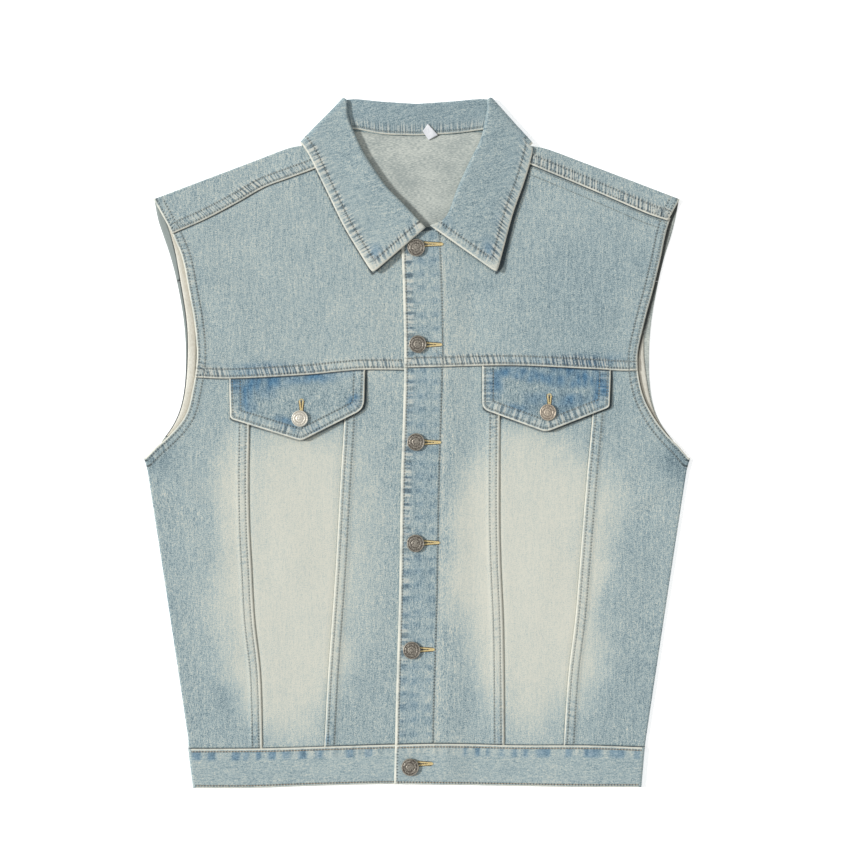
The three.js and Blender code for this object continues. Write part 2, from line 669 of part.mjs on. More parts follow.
// Waistband: one two-ply loop, from the hidden end under the placket round the back to the lapped front edge
const BAND_FOOT = -345;
const BAND_RISE = 40;
const BAND_INSET = 2;
function waistband() {
  const radius = (TWO_PLY + HOLLOW) / 2;
  const frontMiddle = TWO_PLY + HOLLOW + TWO_PLY / 2;
  const inset = radius + TWO_PLY / 2;
  const heights = steps(3);
  const topY = (x) => waistY(x) - GAP / 2;
  const heightAt = (x, rise) => hemY(x) * (1 - rise) + topY(x) * rise;
  const edgeAt = (side, rise) => sideX[side](BAND_FOOT + BAND_INSET + (BAND_RISE - 2 * BAND_INSET) * rise);
  const column = (make) => heights.map(make);
  const flatRun = (fromX, toX, count, middle, sign) =>
    steps(count).map((t) =>
      column((rise) => {
        const x = fromX(rise) * (1 - t) + toX(rise) * t;
        const z = middle(x);
        return pair([x, heightAt(x, rise)], z + (sign * TWO_PLY) / 2, z - (sign * TWO_PLY) / 2);
      }),
    );
  const turn = (side, up) =>
    steps(FOLD_STEPS).slice(1, -1).map((t) =>
      column((rise) => {
        const angle = Math.PI * (up ? t - 0.5 : 0.5 - t);
        const x = edgeAt(side, rise) - outward[side] * inset;
        const y = heightAt(x, rise);
        const place = (r) => {
          const z = TWO_PLY / 2 + radius + r * Math.sin(angle);
          return new THREE.Vector3(x + outward[side] * r * Math.cos(angle), y, z);
        };
        return { outer: place(radius + TWO_PLY / 2), inner: place(radius - TWO_PLY / 2) };
      }),
    );
  const foldX = (side) => (rise) => edgeAt(side, rise) - outward[side] * inset;
  const lapZ = (x) => frontMiddle + (TWO_PLY + GAP) * (1 - smooth((x - LAP_FULL) / (LAP_START - LAP_FULL)));
  const overEnd = (rise) => frontEdgeX(BAND_FOOT + BAND_RISE * rise);
  const underEnd = (rise) => overEnd(rise) + BAND_UNDERLAP;
  const columns = [
    ...flatRun(underEnd, foldX("right"), 8, () => frontMiddle, 1),
    ...turn("right", false),
    ...flatRun(foldX("right"), foldX("left"), 10, () => TWO_PLY / 2, -1),
    ...turn("left", true),
    ...flatRun(foldX("left"), overEnd, 12, lapZ, 1),
  ];
  const grid = heights.map((_, j) => columns.map((entry) => entry[heights.length - 1 - j]));
  return wall("waistband", [grid], denim(FRONT_DENIM));
}

// One station of the collar as points from the neck seam up the stand, round the roll and down the fall.
// up is the way that the fall's outer face looks, along is the way from the roll to the edge.
function collarSection({ roll, edge, seam, bend, up, along }) {
  const half = COLLAR_PLY / 2;
  const down = up.clone().negate();
  const standTop = roll.clone().addScaledVector(up, -2 * bend);
  const seamEnd = seam.clone().add(standTop.clone().sub(seam).setLength(STAND_CLEARANCE));
  const points = STAND_SHARES.map((t) => ({ middle: seamEnd.clone().lerp(standTop, t), face: down }));
  const centre = roll.clone().addScaledVector(up, -bend);
  steps(ROLL_STEPS).forEach((t) => {
    const angle = Math.PI * t;
    const face = down.clone().multiplyScalar(Math.cos(angle)).addScaledVector(along, -Math.sin(angle));
    points.push({ middle: centre.clone().addScaledVector(face, bend), face });
  });
  FALL_SHARES.forEach((t) => points.push({ middle: roll.clone().lerp(edge, t), face: up }));
  return points.map(({ middle, face }) => ({
    outer: middle.clone().addScaledVector(face, half),
    inner: middle.clone().addScaledVector(face, -half),
  }));
}

// Stations between the table's rows, from a smooth curve through each column
function collarStations(rows, count) {
  const names = Object.keys(rows[0]).filter((name) => name !== "at");
  const curves = names.map((name) => {
    const points = rows.map((row, i) => new THREE.Vector3(i, row[name], 0));
    return new THREE.CatmullRomCurve3(points, false, "catmullrom");
  });
  const station = (t) => Object.fromEntries(names.map((name, k) => [name, curves[k].getPoint(t).y]));
  return steps(count).map(station);
}
function placed(station, upZ) {
  const { rollX, rollY, edgeX, edgeY } = station;
  const along = new THREE.Vector3(edgeX - rollX, edgeY - rollY, 0).normalize();
  const inset = station.bend + COLLAR_PLY / 2;
  const roll = new THREE.Vector3(rollX, rollY, station.rollZ).addScaledVector(along, inset);
  return {
    roll,
    edge: new THREE.Vector3(edgeX, edgeY, station.edgeZ),
    seam: new THREE.Vector3(station.seamX, station.seamY, station.seamZ),
    bend: station.bend,
    up: new THREE.Vector3(0, 0, upZ),
    along,
  };
}

// Half a collar: the leaf on the front, the fold at the side, and the fall under the back
function collarHalf(side) {
  const rows = side === "right" ? COLLAR_RIGHT : [...COLLAR_LEFT, COLLAR_RIGHT[COLLAR_RIGHT.length - 1]];
  const sideAt = rows.findIndex(({ at }) => at === "side");
  const fold = rows[sideAt];
  const along = new THREE.Vector3(fold.edgeX - fold.rollX, fold.edgeY - fold.rollY, 0).normalize();
  const out = new THREE.Vector3(-along.y, along.x, 0).multiplyScalar(outward[side]);
  const back = rows[sideAt + 1];
  const radius = (fold.rollZ - back.rollZ) / 2;
  const inset = radius + COLLAR_PLY / 2;
  const insetSide = {
    ...fold,
    rollX: fold.rollX - out.x * inset,
    rollY: fold.rollY - out.y * inset,
    edgeX: fold.edgeX - out.x * inset,
    edgeY: fold.edgeY - out.y * inset,
  };
  const leaf = collarStations([...rows.slice(0, sideAt), insetSide], COLLAR_STEPS * sideAt);
  const under = { ...insetSide, rollZ: back.rollZ, edgeZ: back.edgeZ, seamZ: FALL_SEAM_LEVEL };
  const fall = collarStations([under, ...rows.slice(sideAt + 1)], COLLAR_STEPS * (rows.length - sideAt - 1));
  const top = placed(leaf[leaf.length - 1], 1);
  const low = placed(fall[0], -1);
  const turned = steps(FOLD_STEPS).slice(1, -1).map((t) => {
    const angle = Math.PI * (0.5 - t);
    const up = out.clone().multiplyScalar(Math.cos(angle)).add(new THREE.Vector3(0, 0, Math.sin(angle)));
    const mix = (name) => {
      const reach = (top[name].z - low[name].z) / 2;
      const middle = top[name].clone().add(low[name]).multiplyScalar(0.5);
      middle.z += reach * Math.sin(angle);
      return middle.addScaledVector(out, reach * Math.cos(angle));
    };
    const bend = top.bend * (1 - t) + low.bend * t;
    return { roll: mix("roll"), edge: mix("edge"), seam: mix("seam"), bend, up, along: top.along };
  });
  const shown = leaf.map((station) => placed(station, 1));
  const hidden = fall.map((station) => placed(station, -1));
  return [...shown, ...turned, ...hidden];
}
function collar() {
  const right = collarHalf("right");
  const left = collarHalf("left").reverse();
  const sections = [...right, ...left.slice(1)].map(collarSection);
  const grid = sections[0].map((_, j) => sections.map((section) => section[j]));
  return wall("collar", [grid], denim(COLLAR_DENIM));
}

// Pocket flap: hung from the chest seam over the panels, its point lifted a little
function flap({ side, topOuter, topInner, outerX, outerY, tipX, tipY, innerX, innerY }) {
  const right = side === "right";
  const topY = (x) => chestY[side](x) - GAP;
  const lower = measured([[outerX, outerY], [tipX, tipY], [innerX, innerY]]);
  const [outerLine, innerLine] = [
    measured([[outerX, outerY], [topOuter, topY(topOuter)]]),
    measured([[innerX, innerY], [topInner, topY(topInner)]]),
  ];
  const lines = {
    bottom: right ? lower : measured([...lower.points].reverse()),
    top: right ? across(topY, topOuter, topInner) : across(topY, topInner, topOuter),
    left: right ? outerLine : innerLine,
    right: right ? innerLine : outerLine,
  };
  const tipShare = Math.hypot(tipX - lower.at(0)[0], tipY - lower.at(0)[1]) / lower.length;
  const tipAt = right ? tipShare : 1 - tipShare;
  const us = [...steps(4).map((t) => t * tipAt), ...steps(4).slice(1).map((t) => tipAt + t * (1 - tipAt))];
  const vs = steps(4);
  const grid = patch(lines, us, vs).map((row, j) =>
    row.map(([x, y]) => {
      const low = frontUnder(side, x, y) + PLY + FELL_BAND.height + GAP + FLAP_LIFT * (1 - vs[j]) ** 2;
      return pair([x, y], low + TWO_PLY, low);
    }),
  );
  return wall(`pocket_flap_${side}`, [grid], denim(FLAP_DENIM));
}

// Facing strip inside a back armhole
function facing(side) {
  const right = side === "right";
  const edgeX = (offset) => (y) => armBackX[side](y) - outward[side] * offset;
  const edge = (offset) => upward(edgeX(offset), FACING.bottom, FACING.top);
  const [near, far] = [edge(FACING.inset), edge(FACING.inset + FACING.width)];
  const [left, other] = right ? [near, far] : [far, near];
  const lines = {
    bottom: measured([left.at(0), other.at(0)]),
    top: measured([left.at(1), other.at(1)]),
    left,
    right: other,
  };
  const lay = (x, y) => backOver(x, y) + GAP;
  return wall(`armhole_facing_${side}`, [flatPanel(lines, 2, 16, lay, FACING_PLY)], denim(FACING_CLOTH));
}

function label() {
  const [foot, inner, outer, head] = LABEL.map(({ x, y }) => [x, y]);
  const lines = {
    bottom: measured([inner, outer]),
    top: measured([foot, head]),
    left: measured([inner, foot]),
    right: measured([outer, head]),
  };
  const lay = (x, y) => LABEL_BASE.z + LABEL_SLOPE * (y - LABEL_BASE.y);
  return wall("neck_label", [flatPanel(lines, 2, 3, lay, FACING_PLY)], denim(LABEL_CLOTH));
}

function button(name, x, y, z) {
  const profile = BUTTON_PROFILE.map((row) => new THREE.Vector2(row.radius * BUTTON_RADIUS, row.z));
  const geometry = new THREE.LatheGeometry(profile, BUTTON_SIDES);
  geometry.rotateX(Math.PI / 2);
  const mesh = new THREE.Mesh(geometry, new THREE.MeshStandardMaterial(ANTIQUE_METAL));
  mesh.name = name;
  mesh.position.set(x, y, z);
  return mesh;
}

const sides = ["right", "left"];
const vest = new THREE.Group();
vest.name = "denim_vest";
vest.add(backPanel(), backYoke(), waistband(), collar(), label());
for (const side of sides) {
  vest.add(frontYoke(side), sidePanel(side), pocketPanel(side), centrePanel(side), facing(side));
}
FLAPS.forEach((row) => vest.add(flap(row)));
FRONT_BUTTONS.forEach(({ x, y }, i) => {
  const onBand = y < WAIST_LEVEL;
  const seat = onBand ? TWO_PLY * 3 + HOLLOW + GAP : frontUnder("left", x, y) + PLY + PLACKET_BAND.height;
  vest.add(button(`front_button_${i + 1}`, x, y, seat + GAP));
});
FLAP_BUTTONS.forEach(({ side, x, y }) => {
  const seat = frontUnder(side, x, y) + PLY + FELL_BAND.height + GAP + TWO_PLY;
  vest.add(button(`flap_button_${side}`, x, y, seat + FLAP_LIFT * 0.5 + GAP));
});

// The origin goes under the middle of the whole vest.
const extent = new THREE.Box3().setFromObject(vest);
const middle = extent.getCenter(new THREE.Vector3());
vest.position.set(-middle.x, -middle.y, -extent.min.z);

export default vest;
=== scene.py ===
from dataclasses import dataclass
from functools import partial
from math import pi

import bpy
import numpy as np
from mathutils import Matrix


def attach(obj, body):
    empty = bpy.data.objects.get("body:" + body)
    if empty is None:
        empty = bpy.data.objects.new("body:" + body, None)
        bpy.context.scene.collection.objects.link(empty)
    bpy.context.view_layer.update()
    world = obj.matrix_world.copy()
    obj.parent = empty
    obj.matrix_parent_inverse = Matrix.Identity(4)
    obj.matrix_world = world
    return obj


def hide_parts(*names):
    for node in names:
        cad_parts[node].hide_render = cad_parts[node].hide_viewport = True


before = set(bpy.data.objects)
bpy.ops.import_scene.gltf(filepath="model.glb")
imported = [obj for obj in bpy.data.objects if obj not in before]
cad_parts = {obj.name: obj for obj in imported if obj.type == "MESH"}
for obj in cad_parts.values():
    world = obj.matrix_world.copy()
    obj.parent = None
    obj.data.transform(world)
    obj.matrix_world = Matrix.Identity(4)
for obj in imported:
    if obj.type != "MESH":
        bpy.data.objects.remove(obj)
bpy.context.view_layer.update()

# A sleeveless denim vest laid flat on its back and buttoned up. Sizes are millimetres, +X to the wearer's
# left, +Y to the collar, +Z up. MM turns them into metres, and CENTRE_Y puts the vest's middle over the origin.
MM = 0.001
CENTRE_Y = 1.075
NECK_X = 10.5
NECK_POINT = 215
# Steps of the cloth's grids, on the front and on the back
FINE = 2.2
COARSE = 5.0
UP = np.array([0.0, 0.0, 1.0])

# Thickness of the walls, the gap between layers, and how far the fronts stand off the back
PLY = 1.2
TWO_PLY = 2.2
COLLAR_PLY = 1.8
FACING_PLY = 1.0
GAP = 0.3
HOLLOW = 1.8
SWELL = 0.8
# How the wearer's left front rises over the right one, from LAP_START to LAP_FULL along X
LAP_RISE = 2.1
LAP_START = 60
LAP_FULL = 24
UNDERLAP = 35
# Cloth turned round a fold: its radius, how far its middle lies inside the edge, and the strip under the sides
FOLD_RADIUS = (PLY + HOLLOW) / 2
FOLD_INSET = FOLD_RADIUS + PLY / 2
FOLD_STEPS = 10
SIDE_TURN = 10
UNDERARM = -16
# Borders tucked under a neighbour, how far they sink there, and how far seams and flaps are lifted
TUCK = 2.6
TUCK_DROP = 0.6
SEAM_LIFT = 0.9
FLAP_LIFT = 3.2


def table(names, *rows):
    """Short rows of numbers as a dictionary of named columns."""
    return dict(zip(names.split(), np.array(rows, float).T))


SIDES = table(
    "y right left",
    (-15, -274, 274),
    (-22, -271.5, 271.7),
    (-30, -269.7, 269.7),
    (-298, -229, 229),
    (-308, -229, 228),
    (-345, -224, 224.5),
)
ARMHOLE = table(
    "y right_front right_back left_front left_back",
    (242, -261.7, -261.7, 261.8, 261.8),
    (222, -250.5, -258, 253, 258),
    (206, -244, -253, 248.3, 254),
    (184, -235, -246.2, 243.7, 247.3),
    (152, -228.6, -238.7, 236, 240),
    (118, -222.6, -233.2, 227, 234.3),
    (84, -220.3, -231.5, 220.5, 232.3),
    (50, -225, -233.5, 225, 234),
    (25, -232.5, -240.3, 236.8, 240.8),
    (4, -250.5, -253.5, 253.3, 254.5),
    (-15, -274, -274, 274, 274),
)
SHOULDER_FOLD = table(
    "right_x right_y left_x left_y",
    (-263.6, 243.2, 262.8, 243.2),
    (-170, 278.6, 170, 278.5),
    (-128, 294.2, 128, 293.8),
    (-112, 297.4, 112, 296.6),
    (-71.5, 311, 71, 310.5),
)
FORWARD_SEAM = table(
    "right_x right_y left_x left_y",
    (-72.8, 288, 71.5, 296),
    (-101, 273.8, 98, 283.8),
    (-127.7, 263.8, 128, 271.4),
    (-152.6, 254.7, 155.2, 260.4),
    (-177.5, 240.6, 193.4, 244.2),
    (-210.7, 223.2, 231.7, 227.9),
    (-244.7, 208.3, 251, 221.5),
)
BACK_NECK = table("x y", (-59, 311), (-33, 307.4), (-2, 306.2), (38, 308), (59, 310.4))
BACK_YOKE_SEAM = 161
# The chest seam across each front, the V seams below it, and the lapped front edge
CHEST_SEAM = table(
    "right_x right_y left_x left_y",
    (-222.5, 64.6, -16, 74.4),
    (-187, 63.4, 23, 75.2),
    (-111, 67.3, 96, 76.6),
    (-77, 70.6, 173, 73.2),
    (-53, 72.4, 205, 71.4),
    (23, 71.6, 222, 71.6),
)
V_SEAMS = table(
    "y outer_right inner_right inner_left outer_left",
    (76, -167, -70.5, 83.7, 178.5),
    (22, -167.5, -72.7, 83, 175.1),
    (-34, -168.3, -76.2, 82.5, 169.9),
    (-84, -167.5, -79, 82.6, 165.8),
    (-125, -165.5, -81.3, 83.7, 162.5),
    (-178, -162.5, -85, 86, 158),
    (-233, -156.6, -89, 87, 151.3),
    (-306, -154.5, -92.8, 87.5, 146.5),
)
FRONT_EDGE = table(
    "y x",
    (214, -16.5),
    (153, -14.1),
    (77, -12.8),
    (-38, -16),
    (-158, -18.1),
    (-258, -21.1),
    (-303, -22),
    (-345, -23),
)
WAIST_SEAM = table(
    "x y",
    (-229, -306.9),
    (-153, -306.4),
    (-87, -304.5),
    (-23, -302.6),
    (23, -301.6),
    (97, -303.3),
    (172, -303.5),
    (228.5, -305.5),
)
HEM = table(
    "x y", (-223.5, -346), (-169, -346), (-105, -343.8), (-20, -342), (79, -343.6), (167, -345), (224.5, -345)
)
# Where dye is kept in blotches under the waistband's seam, from and to along X
BLOTCHES = (
    (-225, -216.4),
    (-209.2, -201.6),
    (-185, -177.2),
    (-173, -168.6),
    (-161, -156),
    (-148.5, -141.3),
    (-134.6, -127),
    (-118.3, -110.7),
    (-101.1, -94.4),
    (-70, -64),
    (-52, -45),
    (46, 50),
    (58, 63),
    (69, 72),
    (82, 87),
    (95, 100),
    (106, 111),
    (119, 133),
    (148, 154),
    (167, 185),
    (193, 207),
    (217, 223),
)
# How far the armhole facing starts inside the back's armhole
FACING_INSET = table(
    "y right left",
    (236, 6, 9),
    (207, 7, 8.5),
    (162, 4, 8),
    (118, 3, 7.4),
    (102, 2.6, 6),
    (84, 2, 5),
    (62, 1.4, 2.9),
    (34, 1.2, 1.3),
    (8, 1.2, 1.1),
)
FACING_WIDTH = 8.6

# Collar stations from the front end to the middle of the back: where the stand rolls over into the fall, the
# fall's outer edge, the neck seam, the heights of the cloth's middle there, and the radius of the roll
COLLAR_COLUMNS = "roll_x roll_y edge_x edge_y seam_x seam_y roll_z edge_z seam_z bend"
COLLAR = {
    "right": table(
        COLLAR_COLUMNS,
        (8.6, 214, -44.4, 168.2, 3, 209, 10.6, 11, 8.6, 1),
        (-13, 237.5, -58, 190, -24, 226, 10.6, 8.6, 6.1, 1.9),
        (-31.5, 257, -73, 215.2, -46, 243, 10.8, 8.2, 6.1, 2.1),
        (-50, 283.5, -88, 245.8, -64, 270, 11, 8.2, 6.1, 2.1),
        (-62, 308.3, -101.6, 274, -69.5, 288, 10.8, 8.6, 6.3, 2),
        (-69, 326, -109, 288.4, -69, 304, 10.2, 8.8, 6.5, 1.7),
        (-73.4, 343.8, -117.8, 299.8, -66.5, 312.5, 9.6, 8.8, 6.6, 1.5),
        (-60, 343, -94, 290, -58, 312, 0.9, 0.9, 3.4, 2.1),
        (-33, 340.5, -55, 282, -33, 307.4, 0.9, 0.9, 3.1, 3),
        (0, 338.2, 0, 279, 0, 306.2, 0.9, 0.9, 3, 3.2),
    ),
    "left": table(
        COLLAR_COLUMNS,
        (13, 216, 80, 168.6, 19, 210, 10.6, 11.4, 8.6, 1),
        (29, 225.5, 87, 195, 42, 219, 10.8, 9.4, 7.4, 1.6),
        (41, 255, 96, 228, 58, 246, 11, 9, 6.3, 2.1),
        (55, 285, 107, 259, 68, 276, 11, 9, 6.1, 2.1),
        (63.5, 303, 113, 279, 68.5, 296, 10.6, 9, 6.3, 2),
        (69.5, 327, 115.6, 292, 67, 308, 10.2, 9, 6.5, 1.7),
        (74, 344, 116.3, 299.4, 66, 312, 9.6, 8.8, 6.6, 1.5),
        (61, 343, 94, 290, 59, 311, 0.9, 0.9, 3.4, 2.1),
        (34, 340.7, 55, 282, 36, 308.2, 0.9, 0.9, 3.1, 3),
        (0, 338.2, 0, 279, 0, 306.2, 0.9, 0.9, 3, 3.2),
    ),
}
COLLAR_SIDE_ROW = 6
STAND_CLEARANCE = 0.6

# Flap corners: the ends of the top along X, the lower corners and the point, and how far each is rounded
FLAPS = {
    "right": dict(top=(-187.7, -51.8), outer=(-186.7, 23.3), tip=(-115.4, 1.3), inner=(-53, 33), cuts=(4, 4, 9)),
    "left": dict(top=(193.9, 65.2), outer=(192.2, 34.8), tip=(128.8, 10), inner=(65.2, 33), cuts=(3, 6, 7)),
}
FRONT_BUTTONS = ((-0.7, 194.2), (0.8, 97.7), (-1, 0), (-1.4, -101.2), (-5.2, -208), (-6.7, -324.4))
FLAP_BUTTONS = {"right": (-116.9, 23.4), "left": (130.7, 29.6)}
FRONT_BUTTON_RADIUS = 8.8
FLAP_BUTTON_RADIUS = 8.25
# Buttonholes: from the eye to the bar at a height, and how far over a flap's button the eye and the bar are
FRONT_HOLES = (
    (7, 197.7, 25),
    (9.5, 97.3, 24),
    (7.2, -0.3, 23),
    (7, -100.6, 21.5),
    (3, -207.4, 16.5),
    (1, -321.2, 15),
)
FLAP_HOLES = {"right": (17.5, 7), "left": (16.5, 7)}
FLAP_HOLE_SHIFT = 1.5
LABEL = ((11.7, 302), (20.9, 307), (10.8, 318), (5.7, 310.7))


# Curves and grids


def smooth(value):
    """The soft step 3t^2 - 2t^3 of a value held between 0 and 1."""
    t = np.clip(value, 0, 1)
    return t * t * (3 - 2 * t)


def column(rows, by, name):
    """A column looked up by another: cubic pieces whose slopes come from each row's two neighbours."""
    order = np.argsort(rows[by])
    xs, ys = rows[by][order], rows[name][order]
    low, high = np.maximum(np.arange(len(xs)) - 1, 0), np.minimum(np.arange(len(xs)) + 1, len(xs) - 1)
    slopes = (ys[high] - ys[low]) / (xs[high] - xs[low])

    def look_up(value):
        value = np.clip(value, xs[0], xs[-1])
        i = np.clip(np.searchsorted(xs, value, side="right") - 1, 0, len(xs) - 2)
        span = xs[i + 1] - xs[i]
        t = (value - xs[i]) / span
        blend = smooth(t)
        bend = slopes[i] * span * t * (1 - t) ** 2 - slopes[i + 1] * span * t * t * (1 - t)
        return ys[i] * (1 - blend) + ys[i + 1] * blend + bend

    return look_up


class Line:
    """A line through points, measured along its length."""

    def __init__(self, points):
        self.points = np.asarray(points, float)
        steps = np.hypot(*np.diff(self.points, axis=0).T)
        self.reach = np.concatenate([[0], np.cumsum(steps)])
        self.length = self.reach[-1]

    def at(self, shares):
        """Points at shares of the length."""
        reach = np.asarray(shares) * self.length
        return np.stack([np.interp(reach, self.reach, self.points[:, k]) for k in (0, 1)], -1)

    def back(self):
        """The same line from its other end."""
        return Line(self.points[::-1])

    def inset(self, distance):
        """The line moved sideways to the left of its direction."""
        ahead = np.gradient(self.points, axis=0)
        ahead /= np.maximum(np.hypot(*ahead.T), 1e-9)[:, None]
        return Line(self.points + distance * np.stack([-ahead[:, 1], ahead[:, 0]], -1))

    def near(self, points):
        """Each point's distance to the line and how far along the line its nearest spot is."""
        flat = np.asarray(points).reshape(-1, 1, 2)
        start, step = self.points[None, :-1], np.diff(self.points, axis=0)[None]
        share = np.clip(((flat - start) * step).sum(-1) / np.maximum((step**2).sum(-1), 1e-12), 0, 1)
        away = np.hypot(*np.moveaxis(flat - start - share[..., None] * step, -1, 0))
        best = away.argmin(1)
        pick = np.arange(len(best))
        span = np.diff(self.reach)[best]
        along = self.reach[best] + share[pick, best] * span
        shape = np.asarray(points).shape[:-1]
        return away[pick, best].reshape(shape), along.reshape(shape)


def joined(*lines):
    """Lines that meet end to end, as one."""
    return Line(np.concatenate([line.points[1 if i else 0 :] for i, line in enumerate(lines)]))


def upward(x_of, low, high, count=48):
    """The line x = x_of(y) from a low y to a high one."""
    y = np.linspace(low, high, count)
    return Line(np.stack([x_of(y), y], -1))


def across(y_of, low, high, count=60):
    """The line y = y_of(x) between two values of x."""
    x = np.linspace(low, high, count)
    return Line(np.stack([x, y_of(x)], -1))


def through(points, count=60):
    """A smooth line through points, cubic along its chord length."""
    points = np.asarray(points, float)
    chord = np.concatenate([[0], np.cumsum(np.hypot(*np.diff(points, axis=0).T))])
    rows = {"t": chord, "x": points[:, 0], "y": points[:, 1]}
    t = np.unique(np.concatenate([np.linspace(0, chord[-1], count), chord]))
    return Line(np.stack([column(rows, "t", "x")(t), column(rows, "t", "y")(t)], -1))


def rounded(corners, cuts):
    """A line through corners whose inner ones are rounded by a curve that starts a cut's length before each:
    (1-t)^2 A + 2t(1-t) B + t^2 C. Also tells which points are the middles of the first and last curves."""
    corners = np.asarray(corners, float)
    t = np.linspace(0, 1, 9)[:, None]
    points, middles = [corners[:1]], []
    for before, corner, after, cut in zip(corners, corners[1:], corners[2:], cuts):
        sides = (before - corner, after - corner)
        start, end = (corner + side * cut / np.hypot(*side) for side in sides)
        middles.append(sum(len(part) for part in points) + 4)
        points.append((1 - t) ** 2 * start + 2 * t * (1 - t) * corner + t * t * end)
    return np.concatenate([*points, corners[-1:]]), (middles[0], middles[-1])


def patch(bottom, top, left, right, us, vs):
    """A grid blended between four border lines: both ruled surfaces less the bilinear one (a Coons patch)."""
    u, v = np.asarray(us)[None, :, None], np.asarray(vs)[:, None, None]
    low, high = bottom.at(us)[None], top.at(us)[None]
    near, far = left.at(vs)[:, None], right.at(vs)[:, None]
    ends = [line.at([0, 1]) for line in (bottom, top)]
    corners = (1 - v) * ((1 - u) * ends[0][0] + u * ends[0][1]) + v * ((1 - u) * ends[1][0] + u * ends[1][1])
    return (1 - v) * low + v * high + (1 - u) * near + u * far - corners


def shares(length, spacing):
    """Even shares of a length, about a spacing apart."""
    return np.linspace(0, 1, max(3, int(round(length / spacing)) + 1))


def hemmed(length, spacing, first=(0.6, 1.6, 3.2)):
    """Shares of a length with close steps at both ends."""
    near = np.array(first) / length
    return np.concatenate([[0], near, shares(length, spacing)[1:-1], 1 - near[::-1], [1]])


def raised(points, height):
    """Flat points at a height."""
    return np.concatenate([points, np.broadcast_to(height, points.shape[:-1])[..., None]], -1)


def skins(points, low, top):
    """Both faces of a wall that lies from one height to another."""
    return {"outer": raised(points, top), "inner": raised(points, low)}


def level(y):
    """A height that stays the same along X."""
    return lambda x: y + 0 * x


def crossing(x_of, y_of, start):
    """The height where x = x_of(y) meets y = y_of(x), by repeated substitution."""
    y = start
    for _ in range(12):
        y = y_of(x_of(y))
    return float(y)


# Uneven waves, from seeded lattices


def ripple(along, pitch, seed):
    """A smooth uneven wave along a line, from -1 to 1, with crests about a pitch apart."""
    rng = np.random.default_rng(seed)
    knots = np.arange(0, 2400 / pitch)
    heights = rng.uniform(0.45, 1, len(knots)) * np.where(knots % 2 == 0, 1, -1)
    places = (knots + rng.uniform(-0.28, 0.28, len(knots))) * pitch / 2
    i = np.clip(np.searchsorted(places, along) - 1, 0, len(knots) - 2)
    t = smooth((along - places[i]) / (places[i + 1] - places[i]))
    return heights[i] * (1 - t) + heights[i + 1] * t


def mottle(points, size, seed):
    """Smooth noise over the plane, from -1 to 1, from a square lattice with the given cell size."""
    rng = np.random.default_rng(seed)
    lattice = rng.uniform(-1, 1, (240, 240))
    turn = 0.5 + seed * 1.7
    cosine, sine = np.cos(turn), np.sin(turn)
    across, up = np.moveaxis(np.asarray(points), -1, 0)
    turned_points = np.stack([across * cosine - up * sine, across * sine + up * cosine], -1)
    place = (turned_points + 600) / size
    i = np.floor(place).astype(int)
    t = smooth(place - i)
    i = i % 239
    x, y = i[..., 0], i[..., 1]
    low = lattice[y, x] * (1 - t[..., 0]) + lattice[y, x + 1] * t[..., 0]
    high = lattice[y + 1, x] * (1 - t[..., 0]) + lattice[y + 1, x + 1] * t[..., 0]
    return low * (1 - t[..., 1]) + high * t[..., 1]


# Heights of the layers

OUT = {"right": -1, "left": 1}
side_x = {s: column(SIDES, "y", s) for s in OUT}
arm_front_x = {s: column(ARMHOLE, "y", f"{s}_front") for s in OUT}
arm_back_x = {s: column(ARMHOLE, "y", f"{s}_back") for s in OUT}
outer_seam_x = {s: column(V_SEAMS, "y", f"outer_{s}") for s in OUT}
inner_seam_x = {s: column(V_SEAMS, "y", f"inner_{s}") for s in OUT}
chest_y = {s: column(CHEST_SEAM, f"{s}_x", f"{s}_y") for s in OUT}
front_edge_x = column(FRONT_EDGE, "y", "x")
lap_edge_x = {"right": lambda y: front_edge_x(y) + UNDERLAP, "left": front_edge_x}
waist_y = column(WAIST_SEAM, "x", "y")
hem_y = column(HEM, "x", "y")


def back_under(points):
    """The back lies on the ground, and rises over the collar's fall folded under it."""
    x, y = points[..., 0], points[..., 1]
    clear = np.maximum((281 - y) / 40, (np.abs(x) - 118) / 40)
    return (COLLAR_PLY + GAP) * (1 - smooth(clear))


def front_under(side, points):
    """The fronts lie a hollow above the back, fuller inside, and the wearer's left rises over the underlap."""
    x, y = points[..., 0], points[..., 1]
    inset = (side_x[side](np.minimum(y, -15)) - x) * OUT[side]
    from_placket = (x - lap_edge_x[side](y)) * OUT[side] - 37
    fuller = smooth(inset / 70) * smooth(from_placket / 60)
    lap = LAP_RISE * (1 - smooth((x - LAP_FULL) / (LAP_START - LAP_FULL))) if side == "left" else 0
    return back_under(points) + PLY + HOLLOW + SWELL * fuller + lap


# Soft creases of the fronts: from, to, half width and height, negative for a trough
CREASES = (
    ((-262, -26), (-214, -64), 9, 0.9),
    ((-256, -44), (-205, -92), 12, -0.8),
    ((-246, -100), (-196, -128), 13, 0.6),
    ((-232, 150), (-196, 96), 12, -0.7),
    ((-236, 190), (-168, 128), 15, 0.6),
    ((-212, -240), (-176, -200), 14, 0.6),
    ((262, -26), (216, -70), 9, 0.9),
    ((256, -46), (204, -84), 12, -0.8),
    ((240, -150), (190, -118), 15, 0.6),
    ((228, 120), (186, 104), 11, -0.6),
    ((236, 176), (160, 118), 15, 0.6),
    ((214, -250), (182, -204), 13, 0.6),
    ((-60, 150), (-34, 96), 12, 0.4),
    ((52, 160), (58, 96), 11, -0.4),
    ((-50, -120), (-44, -206), 12, 0.4),
    ((40, -60), (48, -150), 13, 0.4),
    ((-130, -60), (-118, -170), 18, 0.5),
    ((128, -80), (120, -190), 18, 0.5),
)


